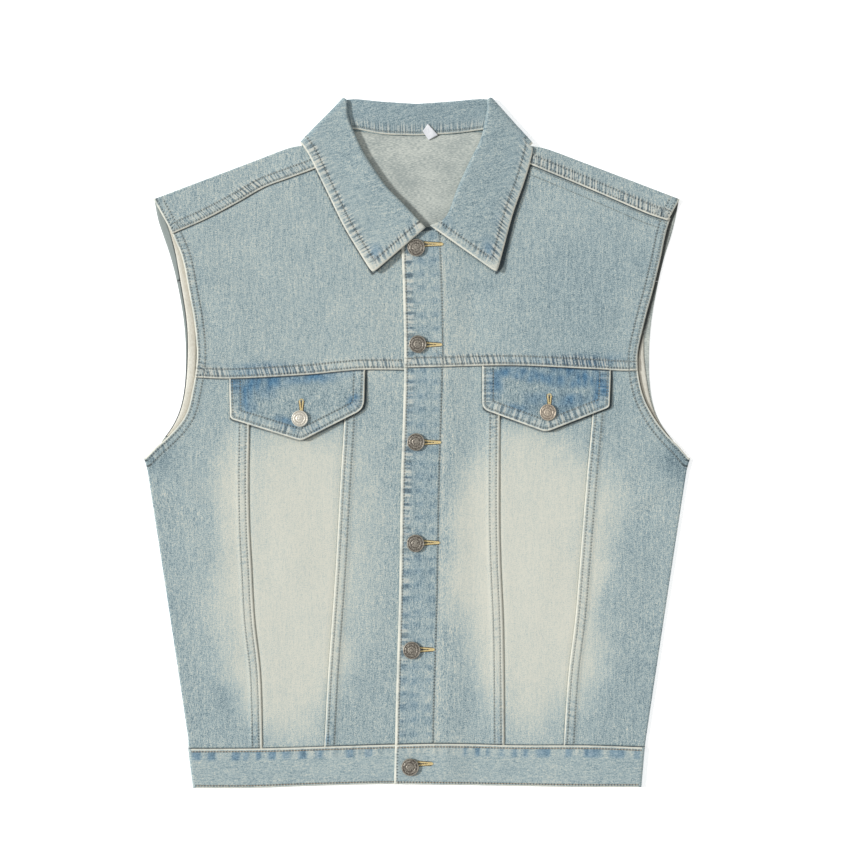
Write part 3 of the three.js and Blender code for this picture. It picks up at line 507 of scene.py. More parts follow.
def creases(points):
    """Soft ridges and troughs: each a bell across its line, fading to both ends."""
    height = 0
    for start, end, width, rise in CREASES:
        line = Line([start, end])
        away, along = line.near(points)
        share = along / line.length
        height = height + rise * np.exp(-((away / width) ** 2)) * (0.35 + 0.65 * np.sin(pi * share))
    return height


# Seams: how the borders of a panel are sewn, as distances that the cloth, its dye and its painted shade follow

FAR = 60.0
BEAT_PITCH = 6.5
BEAT_APART = 311


@dataclass(eq=False)
class Seam:
    """One sewn border: its line, and stitch rows at distances from it, on the line's left if inward is 1.

    Its band is roped: puckered in slanting waves a pitch apart, as far as rope_width or else width, and
    lifted as far as width. A greater crest wears the fold more widely. A tucked border is hidden under
    its neighbour.
    """

    line: Line
    rows: tuple = ()
    inward: int = 1
    rope: float = 0.0
    rope_width: float = 0.0
    pitch: float = 7
    slant: float = 0.35
    seed: int = 1
    lift: float = 0.0
    width: float = 10
    crest: float = 1.0
    tucked: float = 0.0


def sewn(points, seams):
    """For each point: its borders' lift, its puckers, and the distances that dye and painted shade are drawn
    from.
    """
    shape = points.shape[:-1]
    lift, pucker, nearest, band = np.zeros(shape), np.zeros(shape), np.full(shape, FAR), np.zeros(shape)
    found = {name: np.full(shape, FAR) for name in ("worn", "row_one", "row_two", "tuck")}
    along_seam, beat, held = np.zeros(shape), np.zeros(shape), np.zeros(shape)
    for number, seam in enumerate(seams):
        away, along = seam.line.near(points)
        if seam.tucked:
            held = np.maximum(held, 1 - smooth((away - seam.tucked) / 4))
            # distance for the painted shade beside this tucked border
            found["tuck"] = np.minimum(found["tuck"], away - seam.tucked)
            continue
        lift = np.maximum(lift, seam.lift * (1 - smooth((away - seam.width) / 3)))
        if seam.rope:
            wave = ripple(along, seam.pitch, seam.seed)
            wave = wave + 0.35 * ripple(along, seam.pitch * 0.47, seam.seed + 50)
            patchy = 0.35 + 0.65 * smooth(0.5 + mottle(points, 34, seam.seed + 9))
            reach = seam.rope_width or seam.width
            beyond = 0.45 * smooth(away / reach) * np.exp(-np.maximum(away - reach, 0) / 4)
            across_band = np.maximum(1 - smooth((away - reach) / 3), beyond) * (away < reach + 9)
            band = np.maximum(band, seam.rope * patchy * across_band)
            pucker = pucker + seam.rope * wave * patchy * across_band
        closer = away < nearest
        nearest = np.where(closer, away, nearest)
        along_seam = np.where(closer, along, along_seam)
        slanted = (along + seam.slant * away) * BEAT_PITCH / seam.pitch
        beat = np.where(closer, slanted + BEAT_APART * (number + seam.seed), beat)
        found["worn"] = np.minimum(found["worn"], away / seam.crest)
        for name, row in zip(("row_one", "row_two"), seam.rows):
            distance = away - row
            found[name] = np.where(np.abs(distance) < np.abs(found[name]), distance, found[name])
    lift = lift * (1 - held) - TUCK_DROP * held
    return dict(lift=lift, pucker=pucker * (1 - held), band=band, along=along_seam, beat=beat, **found)


# Dye: soft patches of bleach and of deep blue

BLEACH = (
    ((-128, -150), (64, 134), 1.0),
    ((-120, -34), (62, 60), 0.92),
    ((-134, -228), (50, 68), 0.88),
    ((-62, -90), (36, 100), 0.4),
    ((-205, -110), (34, 110), 0.09),
    ((-182, -70), (20, 85), 0.5),
    ((-186, -190), (22, 40), 0.3),
    ((-87, -120), (11, 120), 0.4),
    ((74, -140), (12, 120), 0.4),
    ((76, -210), (12, 40), 0.3),
    ((180, -110), (20, 60), 0.55),
    ((155, -185), (16, 50), 0.55),
    ((190, -70), (20, 60), 0.3),
    ((124, -140), (66, 134), 1.0),
    ((112, -42), (62, 54), 0.88),
    ((134, -224), (52, 68), 0.85),
    ((68, -128), (34, 120), 0.84),
    ((-180, 100), (40, 60), 0.1),
    ((60, 190), (50, 40), 0.08),
)
# Broad washes over the whole vest, darker where negative; two of them are painted shade
TONES = (
    # painted shade: the wearer's left yoke darker, on the side away from the light
    ((175, 150), (80, 80), -2.4),
    ((-50, 120), (50, 70), 0.6),
    ((-215, -120), (35, 90), 0.6),
    ((-205, -270), (60, 45), -1.2),
    ((205, -265), (75, 55), -1.7),
    ((215, -120), (40, 90), -0.8),
    ((-45, -265), (50, 45), -1.0),
    ((264, -18), (23, 20), -8.0),
    ((-262, -18), (22, 20), -4.8),
    ((60, 40), (30, 30), 0.5),
    ((130, 34), (46, 16), -2.2),
    ((63, -252), (12, 18), -1.5),
    ((143, -268), (12, 16), -1.5),
    ((-177, -48), (9, 28), 1.7),
    ((-177, -258), (12, 16), -1.8),
    ((83, -200), (10, 48), 1.7),
    ((-77, -168), (10, 18), 1.8),
    ((163, -170), (10, 20), 1.6),
    ((162, 81), (32, 8), -8.0),
    ((82, 84), (26, 8), 1.0),
    ((196, 30), (14, 30), -1.8),
    ((-168, 62), (30, 10), -2.0),
    ((-125, 28), (24, 12), -1.2),
    ((-250, -170), (22, 80), -1.6),
    ((-188, -252), (12, 18), -3.0),
    ((133, -268), (18, 20), -2.2),
    ((172, -245), (12, 20), -1.6),
    ((53, -250), (14, 16), -1.6),
    # painted shade below the tip of the collar leaf on the wearer's left
    ((66, 158), (24, 8), -2.5),
    ((215, 142), (14, 24), 2.0),
    ((-222, 88), (16, 14), 1.6),
    ((43, -298), (16, 8), 1.6),
    ((32, 105), (34, 55), 2.2),
    ((-64, 72), (28, 12), 4.0),
    ((-86, -130), (10, 110), 1.6),
    ((-84, -180), (9, 35), 1.4),
    ((74, -140), (10, 110), 2.4),
    ((172, -130), (12, 50), 1.6),
    ((154, -190), (12, 35), 2.0),
    ((-183, -50), (11, 75), 2.6),
    ((195, -115), (14, 35), 1.8),
    ((-150, 75), (34, 7), -2.2),
    ((-72, 80), (22, 6), 1.6),
    ((225, -55), (30, 32), 1.6),
    ((-110, 150), (120, 80), 0.8),
    ((16, -250), (22, 80), 1.6),
)
INDIGO = (
    ((-160, 62), (34, 12), 1.0),
    ((-118, 66), (34, 7), 0.9),
    ((-80, 70), (22, 6), 0.25),
    ((-171, 44), (10, 16), 0.8),
    ((-150, 47), (11, 9), 0.45),
    ((-135, 18), (13, 6), 0.55),
    ((-64, 43), (9, 9), 0.95),
    ((-98, 14), (12, 6), 0.7),
    ((-128, 16), (12, 6), 0.8),
    ((-150, 74), (42, 5), 0.75),
    ((158, 64), (34, 9), 1.0),
    ((104, 66), (30, 8), 0.95),
    ((184, 48), (9, 17), 1.0),
    ((160, 42), (16, 8), 0.8),
    ((76, 52), (9, 15), 0.75),
    ((100, 30), (15, 8), 0.7),
    ((118, 44), (16, 7), 0.45),
    ((158, 28), (16, 6), 0.6),
    ((140, 42), (32, 12), 0.35),
    ((155, 80), (46, 9), 1.0),
    ((92, 82), (30, 5), 0.5),
    ((6, 190), (18, 16), 0.3),
    ((6, 60), (14, 26), 0.3),
    ((2, -20), (13, 60), 0.22),
    ((0, -150), (13, 60), 0.22),
    ((-4, -250), (13, 50), 0.25),
    ((-92, -297), (5, 6), 1.2),
    ((88, -297), (5, 6), 0.8),
)


def patches(points, spots, wander, seed):
    """Soft ellipses laid over each other, their borders carried about by noise."""
    moved = points + wander * np.stack([mottle(points, 46, seed), mottle(points, 46, seed + 1)], -1)
    moved = moved + wander * 0.4 * np.stack([mottle(points, 14, seed + 2), mottle(points, 14, seed + 3)], -1)
    left = np.ones(points.shape[:-1])
    for centre, radii, most in spots:
        reach = np.hypot((moved[..., 0] - centre[0]) / radii[0], (moved[..., 1] - centre[1]) / radii[1])
        left = left * (1 - np.minimum(most, 1) * (1 - smooth((reach - 0.4) / 0.95)))
    return 1 - left


def dye(points, part):
    """How far the cloth is bleached and how blue it is left, with a cloudy wash that holds some painted shade.
    """
    clouds_and_shade = 0.5 * mottle(points, 60, 31) + 0.5 * mottle(points, 19, 32) + 0.35 * mottle(points, 8, 33)
    for centre, radii, shift in TONES:
        reach = ((points[..., 0] - centre[0]) / radii[0]) ** 2 + ((points[..., 1] - centre[1]) / radii[1]) ** 2
        clouds_and_shade = clouds_and_shade + shift * np.exp(-reach)
    from_edge = points[..., 0] - front_edge_x(points[..., 1])
    if part in ("yoke", "centre"):
        darker = 0.7 + 1.0 * smooth((points[..., 1] + 270) / 90)
        clouds_and_shade = clouds_and_shade - darker * smooth(from_edge / 4) * smooth((39 - from_edge) / 2)
        spots = 0
        for place, width, seed, most in ((6.5, 4.2, 29, 1.0), (18.5, 4.5, 39, 0.6), (32.5, 4.0, 49, 0.7)):
            beside = np.exp(-(((from_edge - place) / width) ** 4))
            wave = ripple(points[..., 1] + 400, 13.5, seed)
            spots = spots + most * smooth(0.25 + 1.3 * wave) * beside
            clouds_and_shade = clouds_and_shade + 1.15 * most * beside
        clouds_and_shade = clouds_and_shade - 4.6 * spots + 4.6 * np.exp(-(((from_edge - 41.6) / 1.7) ** 2))
    bleach, indigo = np.zeros(points.shape[:-1]), np.zeros(points.shape[:-1])
    if part in ("side", "pocket", "centre"):
        bleach = patches(points, BLEACH, 12, 40)
    if part in ("flap", "yoke", "centre"):
        streaks = 0.3 * mottle(points, 7, 64) + 0.45 * mottle(points * [1, 0.3], 3, 66)
        indigo = patches(points, INDIGO, 5, 60) * (0.75 + streaks)
    if part in ("yoke", "centre"):
        indigo = indigo * 0.55 + 0.22 * spots
    return dict(bleach=np.clip(bleach, 0, 1), indigo=np.clip(indigo, 0, 1), cloud=clouds_and_shade)


# Meshes


SEWN = ("worn", "row_one", "row_two", "tuck", "along", "beat", "band", "pucker")
DYED = ("bleach", "indigo", "cloud")
ATTRIBUTES = SEWN + DYED
DISTANCES = ("worn", "row_one", "row_two", "tuck")


def cloth(node, grids, slot, material):
    """One closed cloth wall from grids of outer and inner points: two skins welded where grids meet, and a
    strip along every edge that only one cell has. Named values on the grids become the mesh's attributes."""
    outer = np.concatenate([g["outer"].reshape(-1, 3) for g in grids])
    inner = np.concatenate([g["inner"].reshape(-1, 3) for g in grids])
    _, first, same = np.unique(np.round(outer, 2), axis=0, return_index=True, return_inverse=True)
    same = same.reshape(-1)
    quads, start = [], 0
    for g in grids:
        rows, columns = g["outer"].shape[:2]
        index = same[start : start + rows * columns].reshape(rows, columns)
        start += rows * columns
        corners = (index[:-1, :-1], index[:-1, 1:], index[1:, 1:], index[1:, :-1])
        quads.append(np.stack(corners, -1).reshape(-1, 4))
    quads = np.concatenate(quads)
    edges = np.concatenate([np.stack([quads[:, k], quads[:, (k + 1) % 4]], -1) for k in range(4)])
    edges = edges[edges[:, 0] != edges[:, 1]]
    count = len(first)
    ahead, behind = edges[:, 0] * count + edges[:, 1], edges[:, 1] * count + edges[:, 0]
    border = edges[~np.isin(ahead, behind)]
    rim = np.stack([border[:, 0], border[:, 0] + count, border[:, 1] + count, border[:, 1]], -1)
    points = np.concatenate([outer[first], inner[first]])
    points[:, 2] = np.maximum(points[:, 2], 0)
    values = {}
    for key in ATTRIBUTES:
        plain = FAR if key in DISTANCES else 0.0
        spread = [np.broadcast_to(g.get(key, plain), g["outer"].shape[:2]).reshape(-1) for g in grids]
        values[key] = np.tile(np.concatenate(spread)[first], 2)
    faces = np.concatenate([quads, quads[:, ::-1] + count, rim])
    piece = add_piece(f"{node}_cloth", points, faces, material, slot, values)
    piece.data.validate()
    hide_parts(node)
    return piece


def add_piece(name, points, quads, material, slot, values=None):
    """A mesh object at the origin from points in millimetres, riding on the body. A quad that ends on its first
    corner is a triangle."""
    mesh = bpy.data.meshes.new(name)
    faces = [face[: 3 + (face[3] != face[0])] for face in quads.tolist()]
    mesh.from_pydata((points + [0, CENTRE_Y, 0]) * MM, [], faces)
    for key, value in (values or {}).items():
        attribute = mesh.attributes.new(key, "FLOAT", "POINT")
        attribute.data.foreach_set("value", np.ascontiguousarray(value, np.float32))
    mesh.polygons.foreach_set("use_smooth", np.ones(len(mesh.polygons), bool))
    mesh.materials.append(material)
    piece = bpy.data.objects.new(name, mesh)
    bpy.context.scene.collection.objects.link(piece)
    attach(piece, "root")
    return piece


def declare(piece, grids, with_pieces=()):
    """Work out a sheet's cut, its longest row and column and the area of the middle of its wall, and keep none
    of it.
    """
    wide = long = area = 0
    for g in grids:
        middle = (g["outer"] + g["inner"]) / 2
        rows = np.linalg.norm(np.diff(middle, axis=1), axis=-1).sum(1).max()
        columns = np.linalg.norm(np.diff(middle, axis=0), axis=-1).sum(0).max()
        one, two = middle[1:, 1:] - middle[:-1, :-1], middle[:-1, 1:] - middle[1:, :-1]
        area += 0.5 * np.linalg.norm(np.cross(one, two), axis=-1).sum()
        wide, long = (wide + rows, max(long, columns)) if g is not grids[0] else (rows, columns)


# Stitches: short rounded threads along rows

STITCH_PITCH = 3.0
STITCH_LENGTH = 2.1
STITCH_RINGS = np.array([(0, 0.15), (0.16, 0.85), (0.5, 1), (0.84, 0.85), (1, 0.15)])
STITCH_SIDES = 5


def threads(centres, ahead, up, length, radius):
    """Thread pieces as rings of five points round a short axis, all pieces at once as arrays."""
    side = np.cross(up, ahead)
    share, width = STITCH_RINGS[:, 0] - 0.5, STITCH_RINGS[:, 1]
    angle = np.arange(STITCH_SIDES) * 2 * pi / STITCH_SIDES
    reach = share[None, :, None] * length[:, None, None]
    axis = centres[:, None, None] + ahead[:, None, None] * reach[..., None]
    round_side = (width[:, None] * np.cos(angle))[None] * radius
    round_up = (width[:, None] * np.sin(angle))[None] * radius
    points = axis + side[:, None, None] * round_side[..., None] + up[:, None, None] * round_up[..., None]
    rings = len(STITCH_RINGS)
    base = (np.arange(len(centres)) * rings * STITCH_SIDES)[:, None, None]
    i, j = np.arange(rings - 1)[:, None] * STITCH_SIDES, np.arange(STITCH_SIDES)[None]
    k = (j + 1) % STITCH_SIDES
    walls = np.stack([i + j, i + k, i + STITCH_SIDES + k, i + STITCH_SIDES + j], -1)
    walls = (base[..., None] + walls[None]).reshape(-1, 4)
    ends = np.array([[0, 2, 1, 0], [0, 3, 2, 0], [0, 4, 3, 0]])
    last = (rings - 1) * STITCH_SIDES + np.array([[0, 1, 2, 0], [0, 2, 3, 0], [0, 3, 4, 0]])
    caps = (base + np.concatenate([ends, last])[None]).reshape(-1, 4)
    return points.reshape(-1, 3), np.concatenate([walls, caps])


class Threads:
    """Short threads of one colour, kept while the cloth is made and laid as one piece at the end."""

    def __init__(self):
        self.kept = {"centres": [], "ahead": [], "up": [], "length": []}

    def keep(self, centres, ahead, up, length):
        """Keep some threads by their middles, the way they run, the way out of the cloth, and their length."""
        for key, array in zip(self.kept, (centres, ahead, up, np.full(len(centres), length))):
            self.kept[key].append(array)

    def keep_row(self, points, up=None):
        """Keep a row of stitches along a path of points on the cloth, one every pitch."""
        steps = np.linalg.norm(np.diff(points, axis=0), axis=1)
        reach = np.concatenate([[0], np.cumsum(steps)])
        count = int(reach[-1] / STITCH_PITCH)
        if count < 1:
            return
        middle = (np.arange(count) + 0.5) * STITCH_PITCH

        def at(place, values):
            return np.stack([np.interp(place, reach, values[:, k]) for k in range(3)], -1)

        ahead = at(middle + 0.4, points) - at(middle - 0.4, points)
        ahead /= np.linalg.norm(ahead, axis=1)[:, None]
        face = np.tile(UP, (count, 1)) if up is None else at(middle, up)
        face = face - ahead * (face * ahead).sum(1)[:, None]
        self.keep(at(middle, points), ahead, face / np.linalg.norm(face, axis=1)[:, None], STITCH_LENGTH)

    def lay(self, name, radius, material, slot):
        """One piece of all the threads, lifted clear of the ground."""
        centres, ahead, up, length = (np.concatenate(arrays) for arrays in self.kept.values())
        centres[:, 2] = np.maximum(centres[:, 2], radius + np.abs(ahead[:, 2]) * length / 2)
        add_piece(name, *threads(centres, ahead, up, length, radius), material, slot)


TONAL, BROWN, GOLD, SLIT_SHADES = Threads(), Threads(), Threads(), Threads()


def stitch_rows(seams, height):
    """Rows of stitches along each seam that shows, inset from its line and laid on the panel's surface."""
    for seam in seams:
        for row in () if seam.tucked else seam.rows:
            path = seam.line.inset(row * seam.inward)
            dense = path.at(np.linspace(0, 1, max(12, int(path.length / 1.4))))
            TONAL.keep_row(raised(dense, height(dense)))


# Materials


def linear(red, green, blue):
    """A display colour from 0 to 255 as the linear values that shaders use."""
    value = np.array([red, green, blue]) / 255
    return (*np.where(value <= 0.04045, value / 12.92, ((value + 0.055) / 1.055) ** 2.4), 1.0)


class Nodes:
    """Short ways to place and join shader nodes in one tree."""

    def __init__(self, tree):
        self.tree = tree

    def add(self, kind, inputs=None, **settings):
        made = self.tree.nodes.new(kind)
        for key, value in settings.items():
            setattr(made, key, value)
        for key, value in (inputs or {}).items():
            self.put(made.inputs[key], value)
        return made

    def put(self, socket, value):
        if isinstance(value, bpy.types.NodeSocket):
            self.tree.links.new(value, socket)
        else:
            socket.default_value = value

    def math(self, operation, *values):
        made = self.add("ShaderNodeMath", dict(enumerate(values)), operation=operation)
        return made.outputs[0]

    def range(self, value, low, high, to_low=0.0, to_high=1.0):
        inputs = {"Value": value, "From Min": low, "From Max": high, "To Min": to_low, "To Max": to_high}
        return self.add("ShaderNodeMapRange", inputs, interpolation_type="SMOOTHSTEP").outputs["Result"]

    def scaled(self, vector, scale, turn=0.0):
        inputs = {"Vector": vector, "Scale": scale, "Rotation": (0, 0, turn)}
        return self.add("ShaderNodeMapping", inputs).outputs["Vector"]

    def noise(self, vector, scale, detail=2.0, rough=0.5):
        inputs = {"Vector": vector, "Scale": scale, "Detail": detail, "Roughness": rough}
        return self.add("ShaderNodeTexNoise", inputs).outputs["Fac"]

    def value(self, name):
        return self.add("ShaderNodeAttribute", attribute_name=name).outputs["Fac"]

    def mix(self, share, one, two, blend="MIX"):
        made = self.add("ShaderNodeMix", data_type="RGBA", blend_type=blend)
        for key, value in zip((0, 6, 7), (share, one, two)):
            self.put(made.inputs[key], value)
        return made.outputs[2]

    def ramp(self, value, stops):
        made = self.add("ShaderNodeValToRGB", {"Fac": value})
        elements = made.color_ramp.elements
        while len(elements) < len(stops):
            elements.new(0.5)
        for element, (place, color) in zip(elements, stops):
            element.position = place
            element.color = color
        return made.outputs["Color"]


def group(name, inputs, outputs, build):
    """A shader node group with named inputs and outputs, filled by a build function."""
    tree = bpy.data.node_groups.new(name, "ShaderNodeTree")
    for label, kind, value in inputs:
        socket = tree.interface.new_socket(label, in_out="INPUT", socket_type=f"NodeSocket{kind}")
        if kind != "Vector":
            socket.default_value = value
    for label, kind in outputs:
        tree.interface.new_socket(label, in_out="OUTPUT", socket_type=f"NodeSocket{kind}")
    nodes = Nodes(tree)
    source, sink = nodes.add("NodeGroupInput"), nodes.add("NodeGroupOutput")
    for label, result in build(nodes, source.outputs).items():
        nodes.put(sink.inputs[label], result)
    return tree


def build_grain(n, given):
    """Denim's grain: long slubs down the warp, short ones across, flecks, and the twill's slanting ribs."""
    place = given["Place"]
    slub = n.noise(n.scaled(place, (1250, 260, 60)), 1.0, 1.0, 0.5)
    weft = n.noise(n.scaled(place, (240, 1200, 60)), 1.0, 0.0, 0.5)
    fleck = n.noise(n.scaled(place, (1900, 1000, 400)), 1.0, 0.0, 0.5)
    broad = n.noise(n.scaled(place, (520, 34, 30)), 1.0, 1.0, 0.5)
    ribs = {"Vector": n.scaled(place, (1, 1, 1), 0.6), "Scale": 330.0, "Distortion": 0.6}
    rib = n.add("ShaderNodeTexWave", ribs).outputs["Fac"]
    tone = n.math("ADD", n.math("MULTIPLY", slub, 0.7), n.math("MULTIPLY", fleck, 0.9))
    tone = n.math("ADD", tone, n.math("MULTIPLY", weft, 0.15))
    tone = n.math("ADD", tone, n.math("MULTIPLY", broad, 0.3))
    height = n.math("ADD", n.math("MULTIPLY", rib, 0.4), n.math("MULTIPLY", slub, 0.6))
    return {"Tone": n.math("SUBTRACT", tone, 1.025), "Height": height}


def build_wear(n, given):
    """Wear along a border: a frayed pale line on the fold, its halo, needle holes and a groove along both rows,
    dark and pale slashes across the band, and painted shade beside a tucked border or an overhanging part."""
    rough = n.noise(n.scaled(given["Place"], (500, 500, 500)), 1.0, 2.0, 0.6)
    patchy = n.noise(n.scaled(given["Place"], (70, 70, 70)), 1.0, 1.0, 0.5)
    frayed = n.math("SUBTRACT", rough, 0.5)
    edge_place = n.math("ADD", given["Worn"], n.math("MULTIPLY", frayed, 1.6))
    edge = n.math("MULTIPLY", n.range(edge_place, 0.9, 1.9, 1.0, 0.0), n.range(patchy, 0.3, 0.6, 0.6, 1.0))
    halo = n.range(edge_place, 1.2, 4.2, 1.0, 0.0)
    beats = {"W": n.math("DIVIDE", given["Beat"], BEAT_PITCH / 2), "Scale": 1.0, "Detail": 1.5}
    slash = n.add("ShaderNodeTexNoise", beats, noise_dimensions="1D").outputs["Fac"]
    slash = n.math("ADD", slash, n.math("MULTIPLY", frayed, 0.35))
    slashes = n.math("MULTIPLY", n.range(slash, 0.36, 0.62, -1.0, 1.0), given["Band"])
    # painted shade: full within 0.2 mm of its line, gone by 1.9 mm
    painted_shade = n.range(n.math("ADD", given["Tuck"], n.math("MULTIPLY", frayed, 0.6)), 0.2, 1.9, 1.0, 0.0)
    beat = n.math("FRACT", n.math("DIVIDE", given["Along"], STITCH_PITCH))
    hole_beat = n.range(n.math("ABSOLUTE", n.math("SUBTRACT", beat, 0.5)), 0.26, 0.42)
    row = n.math("MINIMUM", n.math("ABSOLUTE", given["Row one"]), n.math("ABSOLUTE", given["Row two"]))
    holes = n.math("MULTIPLY", n.range(row, 0.6, 1.3, 1.0, 0.0), hole_beat)
    groove = n.range(row, 0.3, 1.6, 1.0, 0.0)
    return {"Edge": edge, "Halo": halo, "Holes": holes, "Groove": groove, "Slashes": slashes, "Crease": painted_shade}


# Stops of the washed colour, how far each wear, patch or painted shade shifts it, and the tint where deep blue
# dye is left
WASH = (
    (0.0, (90, 110, 121)),
    (0.22, (120, 140, 147)),
    (0.42, (149, 168, 173)),
    (0.6, (174, 189, 189)),
    (0.8, (200, 206, 197)),
    (1.0, (221, 220, 206)),
)
WASH_WEIGHTS = {"Bleach": 0.385, "Indigo": -0.08, "Pucker": 0.34, "Cloud": 0.036, "Halo": 0.05}
UNWASHED = (0.37, 0.61, 0.88, 1.0)
CREAM = linear(236, 234, 219)


def build_wash(n, given):
    """The washed colour: a ramp from deep blue through pale blue to cream, shifted by wear, patches and painted
    shade.
    """
    quiet = n.math("SUBTRACT", 1.0, n.math("MULTIPLY", given["Bleach"], 0.45))
    tone = n.math("ADD", given["Base"], n.math("MULTIPLY", given["Grain"], quiet))
    for key, weight in WASH_WEIGHTS.items():
        tone = n.math("ADD", tone, n.math("MULTIPLY", given[key], weight))
    color = n.ramp(tone, [(stop, linear(*shade)) for stop, shade in WASH])
    return {"Color": n.mix(given["Indigo"], color, UNWASHED, "MULTIPLY")}


def make_groups():
    """The three shader groups that every denim shares."""
    grain = group(
        "denim_grain", [("Place", "Vector", None)], [("Tone", "Float"), ("Height", "Float")], build_grain
    )
    wear = group(
        "seam_wear",
        [("Place", "Vector", None)]
        + [(name, "Float", FAR) for name in ("Worn", "Row one", "Row two", "Tuck")]
        + [(name, "Float", 0.0) for name in ("Along", "Beat", "Band")],
        [(name, "Float") for name in ("Edge", "Halo", "Holes", "Groove", "Slashes", "Crease")],
        build_wear,
    )
    names = ("Base", "Grain", "Bleach", "Indigo", "Pucker", "Cloud", "Halo")
    wash = group("stone_wash", [(name, "Float", 0.0) for name in names], [("Color", "Color")], build_wash)
    return grain, wear, wash


GRAIN, WEAR, WASHED = make_groups()


def new_material(name, roughness, metallic=0.0):
    """A material, its node helper and its main shader."""
    material = bpy.data.materials.new(name)
    material.use_nodes = True
    shader = material.node_tree.nodes["Principled BSDF"]
    shader.inputs["Roughness"].default_value = roughness
    shader.inputs["Metallic"].default_value = metallic
    return material, Nodes(material.node_tree), shader


def denim(name, base, turn=0.0, strength=1.2):
    """Washed denim: grain turned to the piece, dye from the cloth's own values, wear along its borders, and
    painted shade.
    """
    material, n, shader = new_material(name, 0.92)
    shader.inputs["Specular IOR Level"].default_value = 0.12
    shader.inputs["Sheen Weight"].default_value = 0.08
    coordinates = n.add("ShaderNodeTexCoord").outputs["Object"]
    place = n.scaled(coordinates, (1, 1, 1), turn)
    grain = n.add("ShaderNodeGroup", {"Place": place}, node_tree=GRAIN)
    kept = {"Row one": "row_one", "Row two": "row_two"}
    borders = {key: n.value(kept.get(key, key.lower())) for key in ("Worn", "Row one", "Row two", "Tuck")}
    beats = {key: n.value(key.lower()) for key in ("Along", "Beat", "Band")}
    wear = n.add("ShaderNodeGroup", {"Place": coordinates, **borders, **beats}, node_tree=WEAR)
    softened = n.math("SUBTRACT", 1.0, n.math("MULTIPLY", n.value("bleach"), 0.55))
    # slashes, groove and holes are wear; the fourth is painted shade
    worn = ("Slashes", "Groove", "Holes", "Crease")
    slashes, groove, holes, painted_shade = (n.math("MULTIPLY", wear.outputs[key], softened) for key in worn)
    folds = n.math("ADD", n.math("MULTIPLY", n.value("pucker"), 0.3), n.math("MULTIPLY", slashes, 0.35))
    shifts = {key: n.value(key.lower()) for key in ("Bleach", "Indigo", "Cloud")}
    shifts.update({"Pucker": folds, "Halo": wear.outputs["Halo"]})
    grained = n.math("MULTIPLY", grain.outputs["Tone"], strength)
    wash = n.add("ShaderNodeGroup", {"Base": base, "Grain": grained, **shifts}, node_tree=WASHED)
    color = wash.outputs["Color"]
    color = n.mix(n.range(slashes, 0.0, 1.3, 0.0, 0.62), color, linear(212, 211, 200))
    color = n.mix(n.range(slashes, -1.3, 0.0, 0.55, 0.0), color, linear(90, 101, 108))
    color = n.mix(n.math("MULTIPLY", groove, 0.16), color, linear(66, 80, 88))
    color = n.mix(n.math("MULTIPLY", holes, 0.72), color, linear(46, 54, 58))
    # painted shade beside tucked borders, collar leaves and flaps, mixed towards near-black
    color = n.mix(n.math("MULTIPLY", painted_shade, 0.82), color, linear(34, 46, 56))
    color = n.mix(n.math("MULTIPLY", wear.outputs["Edge"], 0.92), color, CREAM)
    n.put(shader.inputs["Base Color"], color)
    height = n.math("SUBTRACT", grain.outputs["Height"], n.math("MULTIPLY", wear.outputs["Groove"], 1.4))
    bump = n.add("ShaderNodeBump", {"Height": height, "Strength": 0.55, "Distance": 0.00025})
    n.put(shader.inputs["Normal"], bump.outputs["Normal"])
    return material


def plain_weave(name, color, dark, turn=0.0):
    """Undyed cloth: a pale colour with fine threads one way and short flecks the other, darkened by painted
    shade.
    """
    material, n, shader = new_material(name, 0.95)
    shader.inputs["Specular IOR Level"].default_value = 0.1
    place = n.scaled(n.add("ShaderNodeTexCoord").outputs["Object"], (1, 1, 1), turn)
    threads_across = n.noise(n.scaled(place, (1600, 330, 60)), 1.0, 1.0, 0.5)
    cloudy = n.noise(n.scaled(place, (60, 40, 40)), 1.0, 2.0, 0.5)
    share = n.math("ADD", threads_across, n.math("MULTIPLY", n.math("SUBTRACT", cloudy, 0.5), 0.5))
    # painted shade: the given value darkens the back's outer strip by the wearer's right armhole
    share = n.math("ADD", share, n.math("MULTIPLY", n.value("cloud"), 0.15))
    # painted shade, near-black, beside the front's armhole edge, the right facing and the back yoke seam
    shaded = n.range(n.value("tuck"), 0.2, 1.7, 0.85, 0.0)
    woven = n.mix(n.range(share, 0.25, 0.75), dark, color)
    # painted shade, brown, on the facing beside the front's armhole edge
    woven = n.mix(n.value("indigo"), woven, linear(150, 134, 106))
    n.put(shader.inputs["Base Color"], n.mix(shaded, woven, linear(40, 44, 46)))
    bump = n.add("ShaderNodeBump", {"Height": threads_across, "Strength": 0.5, "Distance": 0.00025})
    n.put(shader.inputs["Normal"], bump.outputs["Normal"])
    return material


def antique(name, bright, dark, rough):
    """Worn metal: bright on what stands up, dark in what is cut in, with fine scuffs."""
    material, n, shader = new_material(name, rough, 0.85)
    place = n.add("ShaderNodeTexCoord").outputs["Object"]
    scuff = n.noise(n.scaled(place, (620, 620, 620)), 1.0, 3.0, 0.6)
    worn_off = n.math("MULTIPLY", n.value("recess"), 0.5)
    share = n.math("ADD", worn_off, n.math("MULTIPLY", n.math("SUBTRACT", scuff, 0.4), 2.4))
    n.put(shader.inputs["Base Color"], n.mix(n.range(share, 0.1, 0.9), bright, dark))
    n.put(shader.inputs["Roughness"], n.range(scuff, 0.3, 0.7, rough - 0.1, rough + 0.15))
    bump = n.add("ShaderNodeBump", {"Height": scuff, "Strength": 0.25, "Distance": 0.0001})
    n.put(shader.inputs["Normal"], bump.outputs["Normal"])
    return material


